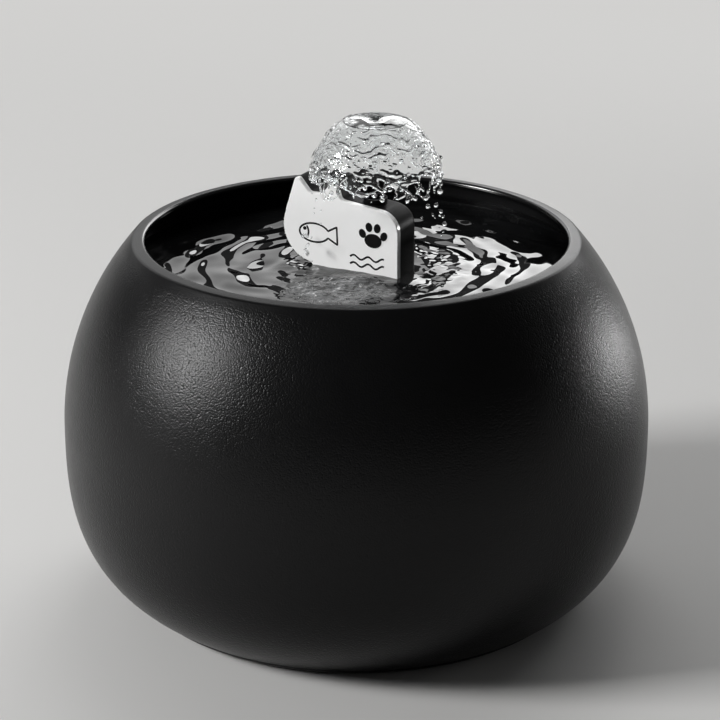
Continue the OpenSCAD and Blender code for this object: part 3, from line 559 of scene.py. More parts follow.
@dataclass(frozen=True)
class PebbledGlaze(Finish):
    """Matt glaze on cast stoneware: fine pebbles that fade out on the lip, and a glossier wetted wall over
    the water, painted lighter there as a painted reflection.
    """

    grain: float = 0.62 * MM
    depth: float = 0.125 * MM
    lip_from: float = 135.5 * MM
    lip_full: float = 138.4 * MM
    mouth: float = 84.0 * MM
    edge: Point2 = (78.0 * MM, 79.6 * MM)
    # Painted reflection: the lighter colour that the inner wall over the water is painted with, not the
    # glaze's own.
    painted_sheen: Colour = (0.015, 0.015, 0.0155)
    wet_band: float = 2 * MM

    def surface(self, sheet: ShadeSheet) -> dict[int | str, Any]:
        """Round pebbles over a coarser swell, soft mottling, the smoother lip and the streaked, glossier
        wetted wall, whose lighter colour is a painted reflection.
        """
        place = sheet.place()
        x, y, z = sheet.split(place)
        radius = sheet.distance(x, y)
        lip = sheet.between(self.lip_from, self.lip_full, z)
        # The band of inner wall over the water: glossier because wetted, and painted lighter as a painted
        # reflection.
        inside = sheet.between(self.mouth, self.mouth - self.wet_band, radius) * (1 - lip)
        edge = sheet.between(self.edge[1], self.edge[0], radius) * lip
        pebbles = sheet.cells(place, self.grain)
        fine = 1 - pebbles * pebbles
        coarse = sheet.noise(place, self.grain * 2.5, 1.0)
        mottle = sheet.noise(place, 9 * MM, 3.0, 0.6)
        streaks = sheet.noise(sheet.stretched(place, (1.0, 1.0, 0.07)), 2.4 * MM, 2.0)
        relief = coarse * 0.3 + fine * 0.7
        shown = sheet.greater(1 - lip * 0.75 - inside * 0.8, 0.05)
        normal = sheet.bump(relief * shown, self.depth)
        rough = 0.27 + mottle * 0.08 + lip * 0.02 - inside * (streaks * 0.24 + 0.02) - edge * 0.14
        lighter = toned(self.colour, 1.6)
        dry = sheet.mix(mottle * 0.6 + fine * 0.3, self.colour, lighter)
        return {
            # Painted reflection: the inner band is painted lighter than the glaze.
            "Base Color": sheet.mix(inside, dry, self.painted_sheen),
            "Roughness": rough,
            "Normal": normal,
            "Specular IOR Level": 0.2,
            "Coat Weight": inside * 0.25 + edge * 0.8,
            "Coat Roughness": 0.16,
        }


@dataclass(frozen=True)
class Moulded(Finish):
    """Moulded plastic with the fine texture of its mould."""

    roughness: float = 0.45
    grain: float = 0.3 * MM
    depth: float = 0.012 * MM
    coat: float = 0.0
    gloss: float = 0.5

    def surface(self, sheet: ShadeSheet) -> dict[int | str, Any]:
        """A grained surface with slight changes of gloss and shade."""
        place = sheet.place()
        grain = sheet.noise(place, self.grain, 3.0, 0.6)
        cloud = sheet.noise(place, 12 * MM, 3.0)
        lighter = toned(self.colour, 1.25, 0.002)
        return {
            "Base Color": sheet.mix(cloud, self.colour, lighter),
            "Roughness": self.roughness + (cloud - 0.5) * 0.14 + (grain - 0.5) * 0.08,
            "Normal": sheet.bump(grain, self.depth),
            "Coat Weight": self.coat,
            "Coat Roughness": 0.12,
            "Specular IOR Level": self.gloss,
        }


@dataclass(frozen=True)
class Rubber(Finish):
    """Soft silicone with a dusty bloom."""

    def surface(self, sheet: ShadeSheet) -> dict[int | str, Any]:
        """Matt, with a pale bloom in patches."""
        place = sheet.place()
        bloom = sheet.noise(place, 4 * MM, 4.0, 0.65)
        skin = sheet.noise(place, 0.5 * MM, 2.0)
        paler = toned(self.colour, 2.2, 0.01)
        return {
            "Base Color": sheet.mix(sheet.between(0.45, 0.75, bloom) * 0.5, self.colour, paler),
            "Roughness": 0.62 + bloom * 0.2,
            "Normal": sheet.bump(skin, 0.02 * MM),
        }


@dataclass(frozen=True)
class Silicone(Finish):
    """Clear milky silicone tube."""

    def surface(self, sheet: ShadeSheet) -> dict[int | str, Any]:
        """Milky and half clear, with faint draw lines."""
        place = sheet.place()
        cloud = sheet.noise(place, 6 * MM, 3.0)
        lines = sheet.noise(sheet.stretched(place, (1.0, 1.0, 0.08)), 0.6 * MM, 2.0)
        return {
            "Base Color": sheet.mix(cloud, self.colour, toned(self.colour, 0.9)),
            "Roughness": 0.28 + lines * 0.15,
            "Normal": sheet.bump(lines, 0.02 * MM),
            "Transmission Weight": 0.35,
            "IOR": 1.41,
        }


@dataclass(frozen=True)
class Metal(Finish):
    """Brushed or drawn metal."""

    roughness: float = 0.32
    along: tuple[float, float, float] = (1.0, 1.0, 0.06)

    def surface(self, sheet: ShadeSheet) -> dict[int | str, Any]:
        """Fine lines in the gloss, with faint staining."""
        place = sheet.place()
        lines = sheet.noise(sheet.stretched(place, self.along), 0.25 * MM, 3.0, 0.7)
        stain = sheet.noise(place, 5 * MM, 3.0)
        return {
            "Base Color": sheet.mix(stain * 0.5, self.colour, toned(self.colour, 0.78)),
            "Metallic": 1.0,
            "Roughness": self.roughness + (lines - 0.5) * 0.2,
            "Normal": sheet.bump(lines, 0.008 * MM),
        }


@dataclass(frozen=True)
class Mineral(Finish):
    """Pressed ferrite or ground ceramic: fine specks in a dense body."""

    speck: float = 0.35 * MM
    roughness: float = 0.5

    def surface(self, sheet: ShadeSheet) -> dict[int | str, Any]:
        """Specks of lighter grain and a ground surface."""
        place = sheet.place()
        specks = sheet.cells(place, self.speck)
        ground = sheet.noise(place, 0.2 * MM, 3.0, 0.7)
        paler = toned(self.colour, 1.8, 0.01)
        return {
            "Base Color": sheet.mix(sheet.between(0.35, 0.1, specks) * 0.45, self.colour, paler),
            "Roughness": self.roughness + (ground - 0.5) * 0.2,
            "Normal": sheet.bump(ground, 0.01 * MM),
        }


@dataclass(frozen=True)
class CircuitBoard(Finish):
    """Solder mask over copper tracks, with dark parts standing on it."""

    track: float = 1.6 * MM

    def surface(self, sheet: ShadeSheet) -> dict[int | str, Any]:
        """Tracks under the mask, drawn by a brick pattern with its joints as gaps."""
        place = sheet.place()
        sizes = {"Scale": 1 / self.track, "Mortar Size": 0.08, "Brick Width": 1.4, "Row Height": 0.5}
        bricks = sheet.add("ShaderNodeTexBrick", {"offset": 0.35}, {"Vector": place, **sizes})
        gaps = sheet.value(bricks, "Fac")
        mottle = sheet.noise(place, 2 * MM, 2.0)
        paler = toned(self.colour, 1.9, 0.02)
        return {
            "Base Color": sheet.mix((1 - gaps) * 0.45 + mottle * 0.15, self.colour, paler),
            "Roughness": 0.3 + mottle * 0.1,
            "Normal": sheet.bump(1 - gaps, 0.03 * MM),
        }


@dataclass(frozen=True)
class Foam(Finish):
    """Open-cell filter foam."""

    pore: float = 1.3 * MM

    def surface(self, sheet: ShadeSheet) -> dict[int | str, Any]:
        """Pale struts, with painted shade in the pores between them."""
        place = sheet.place()
        pores = sheet.cells(place, self.pore)
        small = sheet.cells(place, self.pore * 0.45)
        # Painted shade: the pores between the struts are painted darker, as shade in the holes; the same
        # pattern also gives the relief.
        struts_and_pore_shade = sheet.between(0.2, 0.6, pores) * 0.7 + small * 0.3
        paler = toned(self.colour, 3.2)
        return {
            # Painted shade in the pores: the colour darkens between the pale struts.
            "Base Color": sheet.mix(struts_and_pore_shade, toned(self.colour, 0.3), paler),
            "Roughness": 0.95,
            "Normal": sheet.bump(struts_and_pore_shade, 0.5 * MM),
        }


@dataclass(frozen=True)
class Fleece(Finish):
    """Non-woven filter fleece."""

    fibre: float = 0.35 * MM
    dirt: Colour = (0.84, 0.83, 0.79)

    def surface(self, sheet: ShadeSheet) -> dict[int | str, Any]:
        """Crossing fibres with a faint grey load of dirt."""
        place = sheet.place()
        one = sheet.noise(sheet.stretched(place, (1.0, 1.0, 0.15)), self.fibre, 3.0, 0.7, 1.5)
        other = sheet.noise(sheet.stretched(place, (0.25, 0.25, 1.0)), self.fibre, 3.0, 0.7, 1.5)
        fibres = one * 0.5 + other * 0.5
        load = sheet.noise(place, 7 * MM, 4.0, 0.6)
        dirty = tuple(c * f for c, f in zip(self.colour, self.dirt))
        return {
            "Base Color": sheet.mix(fibres * 0.4 + load * 0.4, self.colour, dirty),
            "Roughness": 0.92,
            "Normal": sheet.bump(fibres, 0.05 * MM),
        }


@dataclass(frozen=True)
class ClearWater(Finish):
    """Clear water in thin sheets and drops, with painted shade where its surface turns away from the view,
    standing in for the dim surroundings that real water shows there.
    """

    # The grey of the edges: painted shade for the dim surroundings that real water bends and mirrors there.
    edge: Colour = (0.45, 0.46, 0.47)
    painted_shade_from: float = 0.84
    painted_shade_full: float = 1.0

    def surface(self, sheet: ShadeSheet) -> dict[int | str, Any]:
        """Clear, with painted shade towards its edges."""
        place = sheet.place()
        cloud = sheet.noise(place, 8 * MM, 2.0)
        facing = sheet.value(sheet.add("ShaderNodeLayerWeight", inputs={"Blend": 0.5}), "Facing")
        clear = sheet.mix(cloud * 0.4, self.colour, toned(self.colour, 0.97))
        return {
            # Painted shade: the colour turns to the edge grey where the surface faces away from the view.
            "Base Color": sheet.mix(sheet.between(self.painted_shade_from, self.painted_shade_full, facing), clear, self.edge),
            "Roughness": 0.0,
            "Transmission Weight": 1.0,
            "IOR": 1.333,
        }


@dataclass(frozen=True)
class PoolWater(Finish):
    """Water over the bowl's dark glaze, with stirred water before the spout."""

    stirred: Colour = (0.26, 0.265, 0.27)
    stir_reach: float = 24 * MM

    def surface(self, sheet: ShadeSheet) -> dict[int | str, Any]:
        """Dark depth with grey streaks where air is stirred in."""
        place = sheet.place()
        x, y, _ = sheet.split(place)
        dx, dy = x - STIR_SPOT[0], y - STIR_SPOT[1]
        far = sheet.math("SQRT", dx * dx + dy * dy * STIR_STRETCH)
        streaks = sheet.noise(sheet.stretched(place, (0.6, 1.3, 1.0)), 2.6 * MM, 4.0, 0.62, 1.2)
        stir = sheet.between(self.stir_reach, self.stir_reach * 0.4, far)
        foam = stir * sheet.between(0.34, 0.7, streaks)
        ripples = sheet.noise(place, 2.2 * MM, 2.0)
        return {
            "Base Color": sheet.mix(foam, self.colour, self.stirred),
            "Roughness": 0.02 + foam * 0.14,
            "IOR": 1.46,
            "Normal": sheet.bump(ripples * stir, 0.16 * MM),
        }


GLAZE = PebbledGlaze("stoneware_glaze", (0.003, 0.003, 0.0032))
SOFT_BLACK = Rubber("dusty_rubber", (0.018, 0.018, 0.019))
BLACK_SHELL = Moulded("black_shell", (0.02, 0.02, 0.022))
GREY_SHELL = Moulded("grey_shell", (0.065, 0.069, 0.075), roughness=0.38)
WHITE_ACETAL = Moulded("white_acetal", (0.76, 0.77, 0.76), roughness=0.35)
PLATE_WHITE = Moulded("glossy_plate", (0.92, 0.92, 0.91), roughness=0.24, depth=0.004 * MM, coat=0.35)
CAT_BLACK = Moulded("satin_spout", (0.003, 0.003, 0.0032), roughness=0.4, depth=0.004 * MM, gloss=0.03)
PRINT_BLACK = Moulded("print_black", (0.004, 0.004, 0.004), roughness=0.35, gloss=0.12)
COPPER = Metal("enamelled_copper", (0.7, 0.31, 0.13), roughness=0.3, along=(1.0, 1.0, 1.0))
STEEL = Metal("brushed_steel", (0.56, 0.57, 0.58))
FERRITE = Mineral("ferrite", (0.04, 0.038, 0.036))
CERAMIC = Mineral("ground_ceramic", (0.8, 0.79, 0.75), roughness=0.25)
BOARD = CircuitBoard("green_board", (0.02, 0.11, 0.05))
TUBE = Silicone("milky_silicone", (0.7, 0.72, 0.72))
FOAM = Foam("open_cell_foam", (0.03, 0.03, 0.032))
FLEECE = Fleece("matted_fleece", (0.88, 0.88, 0.86))
WATER = ClearWater("poured_water", (0.97, 0.985, 0.99))
POOL = PoolWater("pool_water", (0.006, 0.0062, 0.0065))


# ---------------------------------------------------------------- sub-assemblies


def shading_tree() -> ShapeSheet:
    """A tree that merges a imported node's loose triangles and shades them smooth up to a crease."""
    sheet = ShapeSheet("crease_shading", {"Merge": TOUCHING})
    merged = sheet.merged(sheet.given, sheet.size("Merge"))
    sheet.add("NodeGroupOutput", inputs={0: sheet.shade(merged, PACKED_CREASE)})
    return sheet


@dataclass
class SubAssembly:
    """A group of pieces on one body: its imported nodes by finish."""

    body: str
    finishes: dict[str, Finish] = field(default_factory=dict)
    shading: ShapeSheet | None = None

    def dress(self) -> None:
        """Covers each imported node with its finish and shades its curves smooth."""
        for node, finish in self.finishes.items():
            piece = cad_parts[node]
            if not piece.material_slots:
                piece.data.materials.append(None)
            for slot in piece.material_slots:
                slot.material = finish.material()
            modifier = piece.modifiers.new("crease_shading", "NODES")
            modifier.node_group = self.shading.tree
            modifier[self.shading.tree.interface.items_tree["Merge"].identifier] = self.shading.sizes["Merge"]
            log.info("dressed %s in %s", node, finish.name)

    def carry(self, piece: bpy.types.Object, slot: str, *replaced: str) -> None:
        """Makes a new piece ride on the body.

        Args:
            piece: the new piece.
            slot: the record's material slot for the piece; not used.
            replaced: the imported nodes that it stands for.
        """
        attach(piece, self.body)
        if replaced:
            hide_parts(*replaced)
        log.info("made %s on %s, %d faces", piece.name, self.body, len(piece.data.polygons))


@dataclass
class Bowl(SubAssembly):
    """The stoneware bowl: elliptical shoulder, squarer side, banded lip and a pocket under its floor."""

    body: str = "bowl"
    belly_z: float = 68 * MM
    foot_radius: float = 79 * MM
    mouth_radius: float = 78 * MM
    wall: float = 6 * MM
    lip_lean: float = 41.0
    lip_rounds: Point2 = (1.2 * MM, 2 * MM)
    lip_fall: float = 0.35 * MM
    lip_narrow: float = 0.2 * MM
    side_power: float = 2.95
    inner_power: float = 3.0
    floor_z: float = 19 * MM
    floor_radius: float = 60 * MM
    foot_round: float = 3 * MM
    pocket: Point2 = (50.8 * MM, 12.8 * MM)
    recess: Point2 = (63 * MM, 4.3 * MM)
    groove: tuple[float, float, float] = (66.95 * MM, 73.05 * MM, 2 * MM)
    notch: Point2 = (14 * MM, 9 * MM)
    notch_corner: float = 3 * MM
    segments: int = 256
    crease: float = 40.0

    def __post_init__(self) -> None:
        """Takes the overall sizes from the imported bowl."""
        low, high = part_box("bowl")
        self.radius = high.x
        self.top = high.z
        self.foot_z = low.z

    def profile(self) -> list[Point2]:
        """The half section, from the pocket's middle round the outside to the middle of the floor."""
        small, large = self.lip_rounds
        in_mid = (self.mouth_radius + small, self.top - small)
        out_mid = (self.mouth_radius + self.wall - self.lip_narrow - large, self.top - self.lip_fall - large)
        lean = math.radians(self.lip_lean)
        out = (out_mid[0] + large * math.cos(lean), out_mid[1] + large * math.sin(lean))
        inner = (in_mid[0] - small * math.cos(lean), in_mid[1] - small * math.sin(lean))
        step = (out_mid[0] - in_mid[0], out_mid[1] - in_mid[1])
        crest = math.degrees(math.atan2(step[1], step[0]) + math.acos((small - large) / math.hypot(*step)))
        inner_radius = self.radius - self.wall
        rise = (out[1] - self.belly_z) / math.sqrt(1 - (out[0] / self.radius) ** 2)
        inner_rise = (inner[1] - self.belly_z) / math.sqrt(1 - (inner[0] / inner_radius) ** 2)
        bend = self.side_power
        drop = self.belly_z / (1 - (self.foot_radius / self.radius) ** bend) ** (1 / bend)
        start = math.asin(((self.belly_z - self.foot_z - self.foot_round * 0.6) / drop) ** (bend / 2))
        out_end = math.degrees(math.asin((out[1] - self.belly_z) / rise))
        in_end = math.degrees(math.asin((inner[1] - self.belly_z) / inner_rise))

        def side(angle: float) -> Point2:
            """The outside below the belt."""
            power = 2 / bend
            return self.radius * math.cos(angle) ** power, self.belly_z - drop * math.sin(angle) ** power

        def inner_side(share: float) -> Point2:
            """The inside below the belt."""
            power, angle = 2 / self.inner_power, share * math.pi / 2
            reach = (inner_radius - self.floor_radius) * max(math.cos(angle), 0.0) ** power
            fall = (self.belly_z - self.floor_z) * math.sin(angle) ** power
            return self.floor_radius + reach, self.belly_z - fall

        foot = side(start)
        round_z = foot[1] - self.foot_z
        groove_in, groove_out, groove_top = self.groove
        line: list[Point2] = [(0.0, self.pocket[1]), self.pocket, (self.pocket[0], self.recess[1])]
        line += [self.recess, (self.recess[0], self.foot_z)]
        line += [(groove_in, self.foot_z), (groove_in, groove_top)]
        line += [(groove_out, groove_top), (groove_out, self.foot_z)]
        line += arc((foot[0] - self.foot_round, foot[1]), (self.foot_round, round_z), -90, 0, 6)[:-1]
        line += [side(start * (1 - i / 48)) for i in range(49)]
        line += arc((0.0, self.belly_z), (self.radius, rise), 0, out_end, 48)[1:]
        line += arc(out_mid, (large, large), self.lip_lean, crest, 10)[1:]
        line += arc(in_mid, (small, small), crest, self.lip_lean + 180, 16)[:-1]
        line += arc((0.0, self.belly_z), (inner_radius, inner_rise), in_end, 0, 40)
        line += [inner_side(i / 40) for i in range(1, 41)]
        line += [(0.0, self.floor_z)]
        return line

    def notch_outline(self) -> list[Point2]:
        """The lead's notch seen from behind: a slot with rounded upper corners."""
        half, top, corner = self.notch[0] / 2, self.notch[1], self.notch_corner
        right = arc((half - corner, top - corner), (corner, corner), 0, 90, 6)
        left = arc((corner - half, top - corner), (corner, corner), 90, 180, 6)
        return [(half, -top), *right, *left, (-half, -top)]

    def build(self) -> None:
        """Turns the bowl and cuts the notch for the lead at its rear."""
        points, faces = turned(self.profile(), self.segments)
        bowl = solid("bowl_cast", points, faces, GLAZE, self.crease)
        slot = pushed(self.notch_outline(), self.pocket[0] - 3 * MM, self.radius)
        cutter = solid("notch_cutter", *slot, GLAZE)
        cut = bowl.modifiers.new("notch", "BOOLEAN")
        cut.operation, cut.solver, cut.object = "DIFFERENCE", "EXACT", cutter
        settle(bowl)
        bpy.data.objects.remove(cutter)
        bowl.data.set_sharp_from_angle(angle=math.radians(self.crease))
        self.carry(bowl, "bowl_glaze", "bowl")


@dataclass
class Pool(SubAssembly):
    """The water in the bowl: a closed body with a rippled top, stirred where the bell falls in."""

    body: str = "bowl"
    level: float = WATER_LEVEL
    radius: float = 86.2 * MM
    depth: float = 7 * MM
    wave: float = 15 * MM
    wave_height: float = 0.235 * MM
    top_share: float = 0.93
    side_share: float = 0.02
    floor_share: float = 0.05
    landing: float = 26 * MM
    calm_reach: float = 16 * MM

    def build(self) -> None:
        """Bends a grid into a disc with a turned-down rim, and lifts its top by the ripples."""
        outlet = Spout.outlet_place()
        sheet = ShapeSheet(
            "pool_ripples",
            {
                "Radius": self.radius,
                "Level": self.level,
                "Depth": self.depth,
                "Wave": self.wave,
                "Wave height": self.wave_height,
                "Centre X": outlet.x,
                "Centre Y": outlet.y,
                "Steps round": 400,
                "Steps out": 190,
            },
        )
        steps = {"Vertices X": sheet.size("Steps round"), "Vertices Y": sheet.size("Steps out")}
        grid = sheet.add("GeometryNodeMeshGrid", inputs={"Size X": 1.0, "Size Y": 1.0, **steps})
        u, v, _ = sheet.split(sheet.add("GeometryNodeInputPosition"))
        turn, out = (u + 0.5) * math.tau, v + 0.5
        top = sheet.lesser(out / self.top_share, 1.0)
        fall = sheet.share((out - self.top_share) / self.side_share)
        home = sheet.greater((out - (self.top_share + self.side_share)) / self.floor_share, 0.0)
        reach = sheet.size("Radius") * top * (1 - home)
        x, y = reach * sheet.math("COSINE", turn), reach * sheet.math("SINE", turn)
        height = self.ripples(sheet, x, y, reach) * (1 - fall) - sheet.size("Depth") * fall
        place = sheet.joined(x, y, sheet.size("Level") + height)
        bent = sheet.add("GeometryNodeSetPosition", inputs={0: grid, "Position": place})
        sheet.finish(sheet.shade(sheet.merged(bent, TOUCHING), 60), POOL.material())
        pool = sheet.grow("pool_water")
        face_out(pool)
        self.carry(pool, "clear_water")

    def ripples(self, sheet: ShapeSheet, x: Value, y: Value, reach: Value) -> Value:
        """The height of the water over its level.

        Args:
            sheet: the pool's tree.
            x: place across.
            y: place towards the rear.
            reach: distance from the bowl's axis.

        Returns:
            The height in metres.
        """
        flat = sheet.joined(x, y, 0.0)
        wave, rise = sheet.size("Wave"), sheet.size("Wave height")
        dx, dy = x - sheet.size("Centre X"), y - sheet.size("Centre Y")
        far = sheet.distance(dx, dy)
        warp = sheet.swing(flat, 34 * MM, 1.0) * 34 * MM + sheet.swing(flat, 13 * MM, 0.0) * 6 * MM
        rings = sheet.math("SINE", (far + warp) * math.tau / wave)
        back = sheet.math("SINE", (reach - warp * 0.7) * math.tau / (wave * 0.8))
        swell = sheet.swing(flat, 21 * MM, 1.0, 0.4, 0.5) * 9
        landing = sheet.between(12 * MM, 0.0, abs(far - self.landing))
        chop = sheet.swing(flat, 6 * MM, 1.0, 0.5, 0.5) * 1.2 * MM * landing
        aside = (x - STIR_SPOT[0]) ** 2 + (y - STIR_SPOT[1]) ** 2 * STIR_STRETCH
        front = sheet.between(30 * MM, 10 * MM, sheet.math("SQRT", aside))
        stir = sheet.swing(flat, 3.4 * MM, 2.0, 0.6, 1.0) * 1.5 * MM * front
        edge = self.radius - reach
        calm = sheet.between(0.0, self.calm_reach, edge) * 0.45 + 0.55
        # The water climbs 1.3 mm at the pool's rim, and half as much at every 1.1 mm further in.
        meniscus = sheet.math("POWER", 0.5, edge / MM / 1.1) * 1.3 * MM
        return (rings + back * 0.5 + swell) * rise * calm + chop + stir + meniscus


@dataclass
class Spout(SubAssembly):
    """The cat-shaped spout: black body, white plate with its print, outlet and beads of water."""

    body: str = "spout"
    yaw: float = 28.0
    outlet: Point2 = (8.3 * MM, -0.6 * MM)
    front: float = -8.6 * MM
    stroke: float = 0.75 * MM
    proud: float = 0.12 * MM
    print_step: float = 0.35 * MM
    paw: Point2 = (11.5, 141.6)
    toes: tuple[tuple[float, float, float], ...] = (
        (-4.4, 2.3, 24.0), (-1.7, 5.0, 8.0), (1.7, 5.0, -8.0), (4.4, 2.3, -24.0)
    )
    eye: Point2 = (-17.0, 142.4)
    wet_from: float = 131 * MM
    wet_area: float = 0.004

    @classmethod
    def outlet_place(cls) -> Vector:
        """The middle of the outlet, seen from above."""
        return cls.turn() @ Vector((*cls.outlet, 0.0))

    @classmethod
    def turn(cls) -> Matrix:
        """The turn from the spout's own frame to the bowl's."""
        return Matrix.Rotation(math.radians(-cls.yaw), 3, "Z")

    def strokes(self) -> dict[Motif, list[list[Point2]]]:
        """The centre lines of the print, in millimetres: across the plate and up from the table."""
        body = arc((-13.0, 141.2), (6.2, 3.6), 22, 338, 26)
        tail = [(body[0][0], body[0][1]), (-3.6, 144.6), (-3.3, 137.8), (body[-1][0], body[-1][1])]
        gill = arc((-18.6, 141.2), (3.2, 3.4), -42, 42, 8)
        waves = [
            [(2.0 + 0.5 * i, z + 0.75 * math.sin(i * 0.5 * math.tau / 6.0)) for i in range(29)]
            for z in (134.4, 131.6)
        ]
        return {Motif.FISH: [body, tail, gill], Motif.WAVES: waves}

    def print_lines(self) -> None:
        """Sweeps a flat round section along every line of the print."""
        for motif, lines in self.strokes().items():
            mesh = bpy.data.meshes.new(motif.value)
            points: list[tuple[float, float, float]] = []
            edges: list[tuple[int, int]] = []
            for line in lines:
                edges += [(len(points) + i, len(points) + i + 1) for i in range(len(line) - 1)]
                points += [(x * MM, 0.0, z * MM) for x, z in line]
            mesh.from_pydata(points, edges, [])
            sizes = {"Width": self.stroke, "Proud": self.proud, "Front": self.front}
            sheet = ShapeSheet(f"print_{motif.value}", {**sizes, "Yaw": math.radians(-self.yaw)})
            swept = sheet.swept(sheet.lines(self.print_step), 12, sheet.size("Width") / 2)
            flat = sheet.joined(1.0, sheet.size("Proud") * 2 / sheet.size("Width"), 1.0)
            pressed = sheet.placed(swept, "Scale", flat)
            moved = sheet.placed(pressed, "Translation", sheet.joined(0.0, sheet.size("Front"), 0.0))
            turned_in = sheet.placed(moved, "Rotation", sheet.joined(0.0, 0.0, sheet.size("Yaw")))
            sheet.finish(sheet.shade(turned_in, 60), PRINT_BLACK.material())
            self.carry(sheet.grow(f"print_{motif.value}", mesh), "cat_black")

    def pads(self) -> None:
        """The paw print: one broad pad under four toes, and the fish's eye."""
        spots: list[tuple[Point2, Point2, float]] = [(self.paw, (3.5, 2.7), 0.0)]
        spots += [((self.paw[0] + dx, self.paw[1] + dz), (1.35, 1.75), lean) for dx, dz, lean in self.toes]
        spots += [(self.eye, (0.7, 0.7), 0.0)]
        points, faces = [], []
        for middle, radii, lean in spots:
            c, s = math.cos(math.radians(lean)), math.sin(math.radians(lean))
            ring = arc((0, 0), radii, 0, 360 - 360 / 32, 31)
            ring = [((middle[0] + x * c - z * s) * MM, (middle[1] + x * s + z * c) * MM) for x, z in ring]
            some, more = pushed(ring, self.front - self.proud, self.front + self.proud)
            faces += [tuple(i + len(points) for i in face) for face in more]
            points += [tuple(self.turn() @ Vector(p)) for p in some]
        self.carry(solid("print_paw", np.array(points), faces, PRINT_BLACK, 50), "cat_black")

    def beads(self, node: str, count: int, seed: int, largest: float) -> None:
        """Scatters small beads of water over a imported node, above the pool.

        Args:
            node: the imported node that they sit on.
            count: about how many there are.
            seed: the seed of their places and sizes.
            largest: the radius of the largest, in metres.
        """
        sizes = {"Smallest": 0.13 * MM, "Largest": largest, "Low": self.wet_from}
        sheet = ShapeSheet(f"beads_{node}", {**sizes, "Density": count / self.wet_area, "Seed": seed})
        surface = sheet.merged(sheet.given, TOUCHING)
        _, _, z = sheet.split(sheet.add("GeometryNodeInputPosition"))
        _, facing, up = sheet.split(sheet.add("GeometryNodeInputNormal"))
        above = sheet.math("GREATER_THAN", z, sheet.size("Low"))
        chosen = above * sheet.math("GREATER_THAN", sheet.greater(up, -facing), 0.2)
        spread = sheet.add(
            "GeometryNodeDistributePointsOnFaces",
            inputs={
                0: surface,
                "Selection": chosen,
                "Density": sheet.size("Density"),
                "Seed": sheet.size("Seed"),
            },
        )
        share = sheet.chance(sheet.size("Seed")) ** 3
        radius = sheet.size("Smallest") + (sheet.size("Largest") - sheet.size("Smallest")) * share
        domes = sheet.joined(radius, radius, radius * 0.5)
        beads = sheet.balls(spread.outputs["Points"], spread.outputs["Rotation"], domes)
        sheet.finish(sheet.shade(beads, SMOOTH), WATER.material())
        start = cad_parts[node].data.copy()
        self.carry(sheet.grow(f"beads_{node}", start), "clear_water")

    def build(self) -> None:
        """Prints the plate and wets the spout."""
        self.print_lines()
        self.pads()
        self.beads("cat_body", 34, 3, 0.55 * MM)
        self.beads("cat_face_plate", 12, 8, 0.36 * MM)


